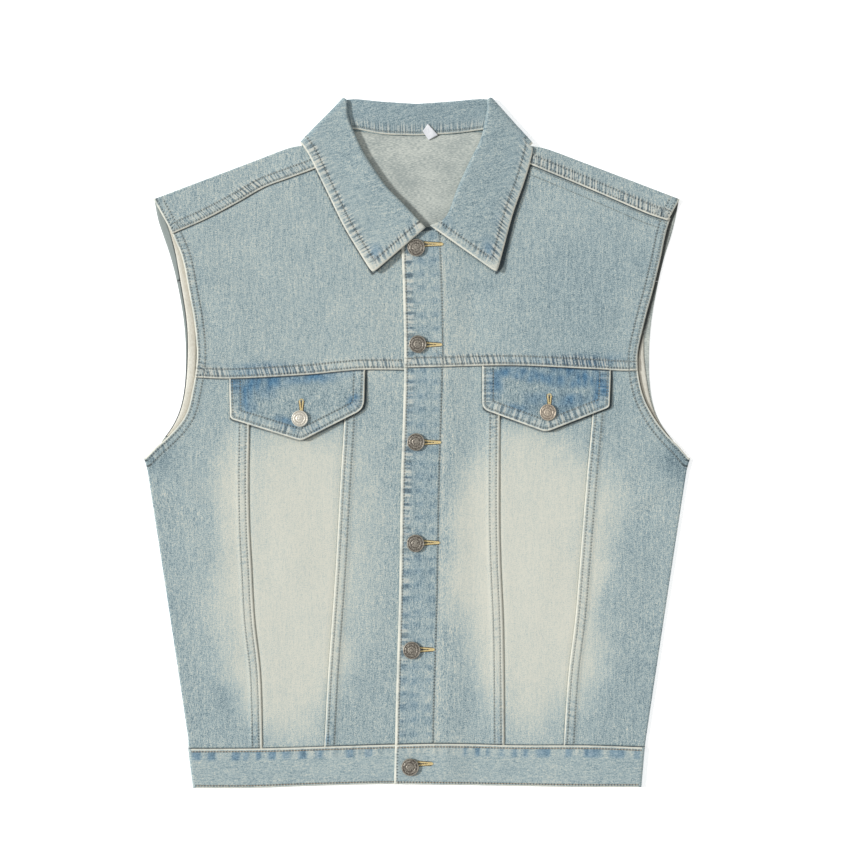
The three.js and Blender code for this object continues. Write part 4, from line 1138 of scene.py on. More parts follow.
def thread(name, color, dark):
    """Twisted thread: fine slanting stripes of light and shade."""
    material, n, shader = new_material(name, 0.8)
    place = n.add("ShaderNodeTexCoord").outputs["Object"]
    stripes = {"Vector": n.scaled(place, (1, 1, 1), 0.8), "Scale": 900.0, "Distortion": 2.0}
    twist = n.add("ShaderNodeTexWave", stripes).outputs["Fac"]
    n.put(shader.inputs["Base Color"], n.mix(twist, dark, color))
    return material


DENIM_FRONT = denim("front_denim", 0.533, strength=1.12)
DENIM_BAND = denim("waistband_denim", 0.55, turn=pi / 2, strength=0.85)
DENIM_FLAP = denim("flap_denim", 0.43)
DENIM_COLLAR = denim("collar_denim", 0.46, turn=pi / 2 - 0.25, strength=1.0)
DENIM_BACK = denim("back_denim", 0.525)
WRONG_SIDE = plain_weave("denim_wrong_side", linear(208, 212, 203), linear(158, 167, 164), turn=pi / 2)
CREAM_CLOTH = plain_weave("facing_cloth", linear(240, 238, 226), linear(220, 216, 202))
WHITE_TAPE = plain_weave("label_tape", linear(244, 245, 247), linear(226, 228, 232))
STITCH_THREAD = thread("tonal_thread", linear(170, 177, 173), linear(122, 130, 127))
BROWN_THREAD = thread("faded_brown_thread", linear(196, 172, 142), linear(142, 118, 92))
GOLD_THREAD = thread("golden_thread", linear(255, 240, 186), linear(226, 194, 128))
# dark threads that paint the shade in the buttonholes
SLIT_SHADE_THREAD = thread("buttonhole_slit", linear(92, 78, 58), linear(52, 44, 36))
ANTIQUE_FRONT = antique("antique_silver", linear(172, 165, 152), linear(98, 92, 86), 0.5)
ANTIQUE_FLAP = {
    "right": antique("bright_silver", linear(240, 235, 222), linear(204, 198, 184), 0.5),
    "left": antique("worn_silver", linear(214, 200, 180), linear(150, 140, 128), 0.5),
}


# Cloth pieces


def lay(points, under, seams, part, ply=PLY, bumps=1.0):
    """Both faces, the dye and the painted shade of a panel's grid that lies on a height."""
    found = sewn(points, seams)
    border = smooth(np.minimum(found["worn"], 20) / 20)
    soft = creases(points) + 0.28 * mottle(points, 38, 5) + 0.1 * mottle(points, 13, 6)
    low = under(points) + found["lift"] + np.maximum(bumps * soft * (0.4 + 0.6 * border), -0.7)
    worn_round = 0.08 * (1 - smooth(found["worn"] / 1.3))
    top = low + ply + 0.34 * found["pucker"] * smooth(found["worn"] / 2.4) - worn_round
    hues = dye(points, part)
    hues["bleach"] = hues["bleach"] * (1 - 0.5 * np.clip(found["band"], 0, 1))
    return dict(skins(points, low, top), **{key: found[key] for key in SEWN}, **hues)


def surface(under, seams, part, ply=PLY, bumps=1.0):
    """The height of a laid panel's upper face at any points."""
    return lambda points: lay(points, under, seams, part, ply, bumps)["outer"][..., 2]


def leaf_shade(side):
    """The deep shade on the yoke beside a collar leaf: a distance that is nothing where it is darkest."""
    rows = {key: COLLAR[side][key][: COLLAR_SIDE_ROW + 1] for key in ("edge_x", "edge_y")}
    edge = through(np.stack([rows["edge_x"], rows["edge_y"]], -1))
    front = Line([edge.points[0], (COLLAR[side]["roll_x"][0], COLLAR[side]["roll_y"][0])])
    widest = 3.2 if side == "left" else -0.4

    def shade(points):
        away, along = edge.near(points)
        wide = widest * (1 - along / edge.length) * smooth(along / 10)
        return np.minimum(away - 0.5 - wide, front.near(points)[0] - 0.2)

    return shade


def flap_border(side):
    """A flap's outline from its top outer corner down and round to its top inner corner, in three lines."""
    f = FLAPS[side]
    heads = [(x, float(chest_y[side](x)) - 0.15) for x in f["top"]]
    points, breaks = rounded([heads[0], f["outer"], f["tip"], f["inner"], heads[1]], f["cuts"])
    cuts = (slice(0, breaks[0] + 1), slice(breaks[0], breaks[1] + 1), slice(breaks[1], None))
    return [Line(points[cut]) for cut in cuts]


def flap_shade(side):
    """The deep shade on the panels beside a flap, widest to its right and below."""
    outer_side, lower, inner_side = flap_border(side)
    left, right = (outer_side, inner_side) if side == "right" else (inner_side, outer_side)

    def shade(points):
        sides = np.minimum(right.near(points)[0] - 1.4, left.near(points)[0] + 0.4)
        return np.minimum(sides, lower.near(points)[0] - 0.7)

    return shade


# Which way is into a panel from each of its border lines: 1 is to the left of the line
INWARD = {"bottom": 1, "top": -1, "left": -1, "right": 1}


def v_seam(lines, key, seed):
    """The band of a V seam on a panel's left or right border, its fold more worn where it faces right."""
    how = dict(rope=0.55, pitch=6, seed=seed, lift=SEAM_LIFT, crest=1.5 if key == "right" else 0.8)
    return Seam(lines[key], (3.4, 9.8), INWARD[key], **how)


def arm_seam(line, inner_row, inward, rope, seed):
    """The border of an armhole, turned in and stitched twice."""
    return Seam(line, (2.8, inner_row), inward, rope=rope, pitch=6, seed=seed, lift=0.3, width=9)


def placket_seam(line, inner_row, width, seed):
    """The lapped front edge: roped beside its fold, with a second row along the placket's inner side."""
    how = dict(rope=0.95, rope_width=9, pitch=12, slant=0.0, seed=seed, lift=0.5, width=width, crest=1.85)
    return Seam(line, (3.4, inner_row), INWARD["left"], **how)


def panel(node, lines, side, seams, part, slot, shade):
    """One panel of a front between four border lines, with its stitches and the shade that falls on it."""
    under = partial(front_under, side)
    us = shares((lines["bottom"].length + lines["top"].length) / 2, FINE)
    vs = shares((lines["left"].length + lines["right"].length) / 2, FINE)
    points = patch(**lines, us=us, vs=vs)
    grid = lay(points, under, seams, part)
    # painted shade cast by the part above: a collar leaf or a flap
    grid["tuck"] = np.minimum(grid["tuck"], shade(points))
    declare(cloth(f"{node}_{side}", [grid], slot, DENIM_FRONT), [grid])
    stitch_rows(seams, surface(under, seams, part))


def front_yoke(side):
    """Front yoke: chest seam to forward shoulder seam, armhole to front edge, its neck under the collar."""
    right, flip, stations = side == "right", OUT[side], COLLAR[side]
    arm_x, edge_x, seam_y = arm_front_x[side], lap_edge_x[side], chest_y[side]
    arm_key, lap_key = ("left", "right") if right else ("right", "left")
    shoulder = np.stack([FORWARD_SEAM[f"{side}_x"], FORWARD_SEAM[f"{side}_y"] + TUCK], -1)[::-1]
    last_y = NECK_POINT - 3
    neck = [shoulder[-1]]
    neck += [(stations["seam_x"][i] + flip, stations["seam_y"][i] - 1) for i in (3, 2)]
    neck += [(NECK_X + flip * 20, NECK_POINT + 7), (NECK_X + flip, NECK_POINT)]
    neck += [(float(edge_x(last_y)), last_y)]
    top = joined(through(shoulder), through(neck))
    arm_y, edge_y = crossing(arm_x, seam_y, 70), crossing(edge_x, seam_y, 74)
    ends = (float(arm_x(arm_y)), float(edge_x(edge_y)))
    lines = {
        "bottom": across(seam_y, *(ends if right else ends[::-1])),
        "top": top if right else top.back(),
        arm_key: upward(arm_x, arm_y, shoulder[0][1]),
        lap_key: upward(edge_x, edge_y, last_y),
    }
    seams = [
        Seam(lines["bottom"], (2.4, 9.4), rope=1.7, pitch=5.2, slant=0.25, seed=11 + right, lift=SEAM_LIFT),
        arm_seam(lines[arm_key], 8.8, INWARD[arm_key], 0.55, 15 + right),
        Seam(lines["top"], tucked=TUCK),
    ]
    if not right:
        seams.append(placket_seam(lines[lap_key], 38.8, 38, 19))
    panel("front_yoke", lines, side, seams, "yoke", "denim_front", leaf_shade(side))


def tucked_top(side):
    """The upper border of a panel that is tucked under a chest seam."""
    return lambda x: chest_y[side](x) + TUCK


def tucked_foot(x):
    """The lower border of a panel that is tucked under the waistband."""
    return waist_y(x) - TUCK


def between(left_x, right_x, side):
    """Border lines of a panel from the waistband to the chest seam, tucked under both."""
    top_y = tucked_top(side)
    feet = [crossing(x_of, tucked_foot, -304) for x_of in (left_x, right_x)]
    heads = [crossing(x_of, top_y, 70) for x_of in (left_x, right_x)]
    return dict(
        bottom=across(tucked_foot, float(left_x(feet[0])), float(right_x(feet[1]))),
        top=across(top_y, float(left_x(heads[0])), float(right_x(heads[1]))),
        left=upward(left_x, feet[0], heads[0]),
        right=upward(right_x, feet[1], heads[1]),
    )


def pocket_panel(side):
    """Tapered pocket panel between the V seams, tucked under its neighbours all round."""

    def outer_x(y):
        return outer_seam_x[side](y) + OUT[side] * TUCK

    def inner_x(y):
        return inner_seam_x[side](y) - OUT[side] * TUCK

    lines = between(*(outer_x, inner_x)[:: -OUT[side]], side)
    hidden = {"bottom": TUCK, "top": TUCK, "left": TUCK - 0.6, "right": TUCK - 0.6}
    seams = [Seam(line, tucked=hidden[key]) for key, line in lines.items()]
    panel("pocket_panel", lines, side, seams, "pocket", "denim_bleached", flap_shade(side))


def centre_panel(side):
    """Front centre panel, from the inner V seam to the front edge."""
    right = side == "right"
    lines = between(*(inner_seam_x[side], lap_edge_x[side])[:: -OUT[side]], side)
    seams = [v_seam(lines, "left" if right else "right", 23 + right)]
    seams += [Seam(lines[key], tucked=TUCK) for key in ("bottom", "top")]
    if not right:
        seams.append(placket_seam(lines["left"], 38, 37, 27))
    panel("front_centre_panel", lines, side, seams, "centre", "denim_front", flap_shade(side))


def turned(edge, side):
    """Cloth turned round a side fold: a half circle from the upper face's border to the underside."""
    angle = pi * (0.5 - np.linspace(0, 1, FOLD_STEPS + 1)[1:])[None]
    x, y, z = edge[:, None, 0], edge[:, None, 1], edge[:, None, 2]
    rise = np.where(angle > 0, z - PLY - HOLLOW - PLY, 0) * np.maximum(np.sin(angle), 0)

    def ring(r):
        height = PLY / 2 + FOLD_RADIUS + r * np.sin(angle) + rise
        return np.stack([x + OUT[side] * r * np.cos(angle), y + 0 * angle, height], -1)

    return ring(FOLD_RADIUS + PLY / 2), ring(FOLD_RADIUS - PLY / 2)


def side_panel(side):
    """Side panel with its turn round the side fold to the side seam under the edge."""
    right, flip = side == "right", OUT[side]
    arm_key, v_key = ("left", "right") if right else ("right", "left")
    seam_x, arm_x, top_y = outer_seam_x[side], arm_front_x[side], tucked_top(side)

    def fold_x(y):
        return side_x[side](y) - flip * FOLD_INSET

    underarm = (float(fold_x(UNDERARM)), UNDERARM)
    fold_line = upward(fold_x, crossing(fold_x, tucked_foot, -305), UNDERARM)
    arm_line = Line(np.concatenate([[underarm], upward(arm_x, -4, crossing(arm_x, top_y, 70)).points]))
    outer = joined(fold_line, arm_line)
    seam = upward(seam_x, crossing(seam_x, tucked_foot, -305), crossing(seam_x, top_y, 70))
    foot, head = ([line.at(share)[0] for line in (outer, seam)][::-flip] for share in (0, 1))
    lines = {"bottom": across(tucked_foot, *foot), "top": across(top_y, *head), arm_key: outer, v_key: seam}
    seams = [arm_seam(arm_line, 8.6, INWARD[arm_key], 0.6, 31 + right), v_seam(lines, v_key, 35 + right)]
    seams += [Seam(lines[key], tucked=TUCK) for key in ("bottom", "top")]
    share = fold_line.length / outer.length
    low_steps, high_steps = int(fold_line.length / FINE), int(arm_line.length / FINE)
    vs = np.concatenate([np.linspace(0, share, low_steps + 1), np.linspace(share, 1, high_steps + 1)[1:]])
    points = patch(**lines, us=shares(105, FINE), vs=vs)
    under = partial(front_under, side)
    flat = lay(points, under, seams, "side")
    # painted shade beside the flap
    flat["tuck"] = np.minimum(flat["tuck"], flap_shade(side)(points))
    rows, at = low_steps + 1, 0 if right else -1
    edge_outer, edge_inner = flat["outer"][:rows, at], flat["inner"][:rows, at]
    ring_outer, ring_inner = turned(edge_outer, side)
    foot = edge_outer * [1, 1, 0] - [flip * SIDE_TURN, 0, 0]
    foot[-6:, 1] += (SIDE_TURN - 1) * smooth(np.linspace(0, 1, 6))
    turn = dict(
        outer=np.concatenate([edge_outer[:, None], ring_outer, foot[:, None]], 1),
        inner=np.concatenate([edge_inner[:, None], ring_inner, (foot + PLY * UP)[:, None]], 1),
    )
    for key in ATTRIBUTES:
        turn[key] = np.repeat(flat[key][:rows, at][:, None], FOLD_STEPS + 2, 1)
    if right:
        turn = {key: value[:, ::-1] for key, value in turn.items()}
    piece = cloth(f"front_side_panel_{side}", [flat, turn], "denim_front", DENIM_FRONT)
    declare(piece, [flat, turn])
    stitch_rows(seams, surface(under, seams, "side"))


def back_panel():
    """Back panel, flat on the ground inside the turned side seams."""
    under_arm = UNDERARM - 2
    top_y = BACK_YOKE_SEAM - GAP / 2

    def foot_y(x):
        return waist_y(x) + GAP / 2

    def border(side):
        def seam_x(y):
            return side_x[side](y) - OUT[side] * (FOLD_INSET + SIDE_TURN + GAP)

        arm = upward(arm_back_x[side], 2, top_y)
        flank = upward(seam_x, crossing(seam_x, foot_y, -305), under_arm)
        return joined(flank, Line(np.concatenate([[(float(seam_x(under_arm)), under_arm)], arm.points])))

    left, right = border("right"), border("left")
    bottom = across(foot_y, left.at(0)[0], right.at(0)[0])
    top = across(level(top_y), left.at(1)[0], right.at(1)[0])
    grid = ground_piece(patch(bottom, top, left, right, hemmed(480, COARSE), hemmed(460, COARSE)))
    piece = cloth("back_panel", [grid], "denim_back", WRONG_SIDE)
    declare(piece, [grid], [facing(side) for side in OUT])


def armhole_shade(points):
    """The painted shade on the back's inside: beside the wearer's left front, beside the right facing, and along
    the back yoke seam on the right half.
    """
    x, y = points[..., 0], points[..., 1]
    from_front = np.abs(x - arm_front_x["left"](y))
    wide = 0.3 + 1.9 * smooth((y - 70) / 50)
    facing_x = arm_back_x["right"](y) + column(FACING_INSET, "y", "right")(y)
    from_facing = np.minimum(np.abs(x - facing_x) - 0.2, np.abs(y - BACK_YOKE_SEAM) + 0.3)
    return np.where(y > 2, np.where(x > 0, from_front - wide, from_facing), FAR)


def ground_piece(points):
    """A plain wall on the ground: flat below, with the upper face following it, and painted shade by the
    armholes.
    """
    low = back_under(points)
    # painted shade: the back's outer strip by the wearer's right armhole is darker
    shaded = -4.0 * (1 - smooth((points[..., 0] + 224) / 3)) * smooth((points[..., 1] - 6) / 20)
    return dict(skins(points, low, low + PLY), tuck=armhole_shade(points), cloud=shaded)


# Steps of the back yoke's grid along a shoulder and round the neck, and of its strips over the shoulder
SHOULDER_STEPS = 90
NECK_STEPS = 56
STRIP_STEPS = 16


def shoulder_strip(side, flat, out):
    """The yoke's strip on a shoulder: a half circle round the fold, then straight to the forward seam."""
    right = side == "right"
    cut = slice(0, SHOULDER_STEPS + 1) if right else slice(-SHOULDER_STEPS - 1, None)
    head_outer, head_inner = flat["outer"][-1, cut], flat["inner"][-1, cut]
    angle = pi * (np.linspace(0, 1, FOLD_STEPS + 1)[1:] - 0.5)[:, None, None]

    def ring(r):
        middle = head_inner[None] + (PLY / 2 + FOLD_RADIUS) * UP
        return middle + np.append(out, 0) * (r * np.cos(angle)) + UP * (r * np.sin(angle))

    inside, outside = ring(FOLD_RADIUS - PLY / 2), ring(FOLD_RADIUS + PLY / 2)
    seam = through(np.stack([FORWARD_SEAM[f"{side}_x"], FORWARD_SEAM[f"{side}_y"]], -1)[:: -1 if right else 1])
    share = np.linspace(0, 1, STRIP_STEPS + 1)[1:, None, None]
    goal = seam.at(np.linspace(0, 1, SHOULDER_STEPS + 1))
    points = inside[-1][None, :, :2] * (1 - share) + goal[None] * share
    seams = [
        Seam(seam, (2.4, 9.6), rope=2.2, pitch=4.2, seed=42 - right, lift=SEAM_LIFT),
        Seam(Line(points[:, 0 if right else -1]), (2.8, 8.8), rope=0.5, pitch=6, seed=45, lift=0.2, width=9),
    ]
    found = sewn(points, seams)
    fade = share[..., 0]
    base = inside[-1][None, :, 2] * (1 - fade) + front_under(side, points) * fade
    low = base + found["lift"] * smooth(fade * 3) + 0.2 * mottle(points, 30, 8) * smooth(fade * 4)
    top = low + PLY + 0.34 * found["pucker"] - 0.35 * (1 - smooth(found["worn"] / 1.3))
    top = top * smooth(fade * 4) + (base + PLY) * (1 - smooth(fade * 4))
    for row in seams[0].rows:
        dense = seam.inset(-OUT[side] * row).at(np.linspace(0.01, 0.99, 120))
        TONAL.keep_row(raised(dense, nearest_height(points, top, dense)))
    strip = {key: found[key] for key in SEWN} | dye(points, "strip")
    for key, value in strip.items():
        strip[key] = np.concatenate([np.repeat(value[:1], FOLD_STEPS + 1, 0), value])
    strip["outer"] = np.concatenate([head_outer[None], inside, raised(points, low)])
    strip["inner"] = np.concatenate([head_inner[None], outside, raised(points, top)])
    return strip


def back_yoke():
    """Back yoke: its wrong side shows in the neck, and its strips turn over both shoulders to the forward
    seams, where the dyed side shows."""

    def fold(side):
        points = np.stack([SHOULDER_FOLD[f"{side}_x"], SHOULDER_FOLD[f"{side}_y"]], -1)
        ahead = points[2] - points[0]
        ahead = ahead / np.hypot(*ahead)
        out = np.array([ahead[1], -ahead[0]]) * OUT[side]
        return out, through(points - out * FOLD_INSET)

    folds = {side: fold(side) for side in OUT}
    right_fold, left_fold = folds["right"][1], folds["left"][1].back()
    neck_points = np.stack([BACK_NECK["x"], BACK_NECK["y"] - GAP], -1)
    neck = through(np.concatenate([right_fold.at([1]), neck_points, left_fold.at([0])]))
    top = joined(right_fold, neck, left_fold)
    low = BACK_YOKE_SEAM + GAP / 2

    def border(side):
        x, y = folds[side][1].at(0)
        line = upward(arm_back_x[side], low, y).points
        line[:, 0] += (x - arm_back_x[side](y)) * smooth((line[:, 1] - low) / (y - low))
        return Line(line)

    left, right = border("right"), border("left")
    bottom = across(level(low), left.at(0)[0], right.at(0)[0])
    shoulder, middle, last = np.array([right_fold.length, neck.length, left_fold.length]) / top.length
    us = [np.linspace(0, shoulder, SHOULDER_STEPS + 1)]
    us.append(np.linspace(shoulder, shoulder + middle, NECK_STEPS + 1)[1:])
    us.append(np.linspace(shoulder + middle, shoulder + middle + last, SHOULDER_STEPS + 1)[1:])
    flat = ground_piece(patch(bottom, top, left, right, np.concatenate(us), shares(110, 4.0)))
    grids = [flat] + [shoulder_strip(side, flat, folds[side][0]) for side in OUT]
    yoke = cloth("back_yoke", grids, "denim_back", WRONG_SIDE)
    yoke.data.materials.append(DENIM_BACK)
    centres, normals = (np.empty(len(yoke.data.polygons) * 3) for _ in range(2))
    yoke.data.polygons.foreach_get("center", centres)
    yoke.data.polygons.foreach_get("normal", normals)
    centres, normals = centres.reshape(-1, 3) / MM, normals.reshape(-1, 3)
    turned_over = centres[:, 2] > PLY + 0.7 + back_under(centres[:, :2] - [0, CENTRE_Y])
    dyed = turned_over & (normals[:, 2] > -0.2) | ~turned_over & (normals[:, 2] < -0.5)
    yoke.data.polygons.foreach_set("material_index", dyed.astype(int))
    declare(yoke, grids)


def nearest_height(points, heights, wanted):
    """Heights of the grid points nearest to the wanted places."""
    flat = points.reshape(-1, 2)
    away = ((wanted[:, None] - flat[None]) ** 2).sum(-1)
    return heights.reshape(-1)[away.argmin(1)]


def blotches(points):
    """Rectangles of kept dye under the waistband's seam, each with soft ends, and unevenly dark."""
    spots = 0
    for low, high in BLOTCHES:
        away = np.abs(points[..., 0] - (low + high) / 2)
        spots = spots + 1 - smooth((away - (high - low) / 2 + 1) / 2.4)
    return spots * (0.75 + 0.35 * mottle(points, 11, 14))


def waistband():
    """Waistband: one two-ply loop from its hidden end under the placket, round the back, to the lap."""
    radius = (TWO_PLY + HOLLOW) / 2
    front_middle = TWO_PLY + HOLLOW + TWO_PLY / 2
    rise = np.linspace(0, 1, 20)
    edge_y = -343 * (1 - rise) - 307 * rise
    fold_x = {side: side_x[side](edge_y) - OUT[side] * (radius + TWO_PLY / 2) for side in OUT}
    lap_x = front_edge_x(-345 + 40 * rise)

    def run(start, end, length):
        share = np.linspace(0, 1, int(length / FINE))[:, None]
        return start[None] * (1 - share) + end[None] * share

    def placed(x):
        return np.stack([x, hem_y(x) * (1 - rise) + waist_y(x) * rise], -1)

    def turn(side, way):
        """Both skins of a half circle round a side fold, upwards or downwards."""
        angle = pi * way * (np.linspace(0, 1, FOLD_STEPS + 1)[1:-1, None] - 0.5)
        y = placed(fold_x[side][None])[..., 1] + 0 * angle
        made = {}
        for key, r in (("outer", radius + TWO_PLY / 2), ("inner", radius - TWO_PLY / 2)):
            x = fold_x[side][None] + OUT[side] * r * np.cos(angle)
            made[key] = np.stack([x, y, TWO_PLY / 2 + radius + r * np.sin(angle) + 0 * x], -1)
        return made

    def sewn_band(x, middle, seed, lapped=False):
        """A run of the band that is sewn along its top and hem, and across its end where it laps."""
        points = placed(x)
        ahead = 1 if x[0, 0] < x[-1, 0] else -1
        top, hem = Line(points[:, -1]), Line(points[:, 0])
        seams = [
            Seam(top, (2.8,), -ahead, rope=0.45, pitch=13, slant=0.0, seed=seed, width=9),
            Seam(hem, (2.4,), ahead, rope=0.3, pitch=8, seed=seed + 3, width=5, crest=0.75),
        ]
        if lapped:
            seams.append(Seam(Line(points[-1]), (3,), rope=0.2, pitch=8, seed=seed + 5, width=5, crest=1.5))
        found = sewn(points, seams)
        soft = 0.25 * mottle(points, 30, 12) + 0.12 * mottle(points, 11, 13)
        top_z = middle + TWO_PLY / 2 + 0.32 * found["pucker"] + soft - 0.5 * (1 - smooth(found["worn"] / 1.4))
        from_top = top.near(points)[0]
        strip = smooth((from_top - 2.5) / 1.5) * (1 - smooth((from_top - 10) / 2.4))
        spots = blotches(points)
        hues = dye(points, "band")
        hues["indigo"] = np.clip(0.62 * spots * strip, 0, 1)
        hues["cloud"] = hues["cloud"] + strip * (1.6 - 4.2 * spots)
        for seam in seams[:2]:
            dense = seam.line.inset(seam.inward * seam.rows[0]).at(np.linspace(0, 1, 300))
            BROWN.keep_row(raised(dense, nearest_height(points, top_z, dense)))
        walls = skins(points, middle - TWO_PLY / 2, top_z)
        return dict(walls, **{key: found[key] for key in SEWN}, **hues)

    back = placed(run(fold_x["right"], fold_x["left"], 200))
    shown = run(fold_x["left"], lap_x, 250)
    lap = (TWO_PLY + GAP) * (1 - smooth((shown - LAP_FULL) / (LAP_START - LAP_FULL)))
    first = sewn_band(run(lap_x + 33, fold_x["right"], 240), front_middle, 51)
    last = sewn_band(shown, front_middle + lap, 53, lapped=True)
    plain = [turn("right", -1), skins(back, TWO_PLY, 0.0), turn("left", 1)]
    grid = {}
    for key in ("outer", "inner"):
        grid[key] = np.concatenate([first[key], *[part[key] for part in plain], last[key]])
    quiet = sum(len(part["outer"]) for part in plain)
    for key in ATTRIBUTES:
        far = FAR if key in DISTANCES else 0.0
        grid[key] = np.concatenate([first[key], np.full((quiet, len(rise)), far), last[key]])
    grid = {key: np.swapaxes(value, 0, 1)[::-1] for key, value in grid.items()}
    declare(cloth("waistband", [grid], "denim_front", DENIM_BAND), [grid])


# The collar's grid: stations of a leaf and of the fall under the back, and columns of the stand, roll and fall
LEAF_STATIONS = 76
BACK_STATIONS = 40
STAND_COLUMNS = 12
ROLL_COLUMNS = 11
FALL_COLUMNS = 26
# Columns that count as stand for wear, and stitch rows inside the outer edge and beside the neck seam
SHADED_COLUMNS = 18
COLLAR_ROW = 8.6
NECK_ROW = 2.6


def collar_sections(station, up, along):
    """Collar sections from the neck seam up the stand, round the roll and down the fall, as whole arrays."""
    half = COLLAR_PLY / 2
    roll, edge, seam, bend = (station[key] for key in ("roll", "edge", "seam", "bend"))
    top = roll - 2 * bend[:, None] * up
    start = top - seam
    seam = seam + start / np.linalg.norm(start, axis=1)[:, None] * STAND_CLEARANCE
    t = np.linspace(0, 1, STAND_COLUMNS + 1)[None, :-1, None]
    stand = seam[:, None] * (1 - t) + top[:, None] * t
    stand_face = np.repeat(-up[:, None], STAND_COLUMNS, 1)
    angle = np.linspace(0, pi, ROLL_COLUMNS)[None, :, None]
    roll_face = -up[:, None] * np.cos(angle) - along[:, None] * np.sin(angle)
    rolled = (roll - bend[:, None] * up)[:, None] + roll_face * bend[:, None, None]
    t = np.linspace(0, 1, FALL_COLUMNS + 1)[None, 1:, None]
    fall = roll[:, None] * (1 - t) + edge[:, None] * t
    fall_face = np.repeat(up[:, None], FALL_COLUMNS, 1)
    middle = np.concatenate([stand, rolled, fall], 1)
    face = np.concatenate([stand_face, roll_face, fall_face], 1)
    return middle + half * face, middle - half * face, face


def collar_half(side):
    """Half a collar's stations: the leaf on the front, the turn at the side, and the fall under the back."""
    rows = COLLAR[side]
    side_row = {key: value[COLLAR_SIDE_ROW] for key, value in rows.items()}
    along = np.array([side_row["edge_x"] - side_row["roll_x"], side_row["edge_y"] - side_row["roll_y"], 0])
    along /= np.linalg.norm(along)
    out = np.array([-along[1], along[0], 0]) * OUT[side]
    radius = (side_row["roll_z"] - rows["roll_z"][COLLAR_SIDE_ROW + 1]) / 2
    inset = radius + COLLAR_PLY / 2

    shifts = {"roll_x": out[0], "edge_x": out[0], "roll_y": out[1], "edge_y": out[1]}
    leaf, fall = {}, {}

    def evenly(values, count):
        """Values at an even count of stations, from those of the table's rows."""
        rows = {"i": np.arange(len(values)), "v": values}
        return column(rows, "i", "v")(np.linspace(0, len(values) - 1, count))

    for key, values in rows.items():
        shift = shifts.get(key, 0) * inset
        top, low = values[: COLLAR_SIDE_ROW + 1].copy(), values[COLLAR_SIDE_ROW:].copy()
        top[-1] -= shift
        low[0] -= shift * (0.3 if key == "roll_y" else 1)
        if key in ("roll_z", "edge_z"):
            low[0] = low[1]
        if key == "seam_z":
            low[0] = 4.2
        leaf[key], fall[key] = evenly(top, LEAF_STATIONS), evenly(low, BACK_STATIONS)

    def placed(values, up_z):
        flat = [values[f"edge_{k}"] - values[f"roll_{k}"] for k in "xy"]
        ahead = np.stack([*flat, 0 * flat[0]], -1)
        ahead /= np.linalg.norm(ahead, axis=1)[:, None]
        point = {key: np.stack([values[f"{key}_{k}"] for k in "xyz"], -1) for key in ("roll", "edge", "seam")}
        point["roll"] = point["roll"] + ahead * (values["bend"] + COLLAR_PLY / 2)[:, None]
        up = np.tile([0, 0, up_z], (len(ahead), 1)).astype(float)
        return dict(point, bend=values["bend"]), up, ahead

    top, low = placed(leaf, 1), placed(fall, -1)
    t = np.linspace(0, 1, 13)[1:-1, None]
    angle = pi * (0.5 - t)
    up = out * np.cos(angle) + UP * np.sin(angle)
    turn = {}
    for key in ("roll", "edge", "seam"):
        one, two = top[0][key][-1], low[0][key][0]
        reach, middle = (one[2] - two[2]) / 2, (one + two) / 2
        turn[key] = middle + UP * reach * np.sin(angle) + out * reach * np.cos(angle)
    turn["bend"] = (top[0]["bend"][-1] * (1 - t) + low[0]["bend"][0] * t)[:, 0]
    ahead = np.tile(top[2][-1], (len(t), 1))
    station = {key: np.concatenate([top[0][key], turn[key], low[0][key]]) for key in turn}
    return station, np.concatenate([top[1], up, low[1]]), np.concatenate([top[2], ahead, low[2]])


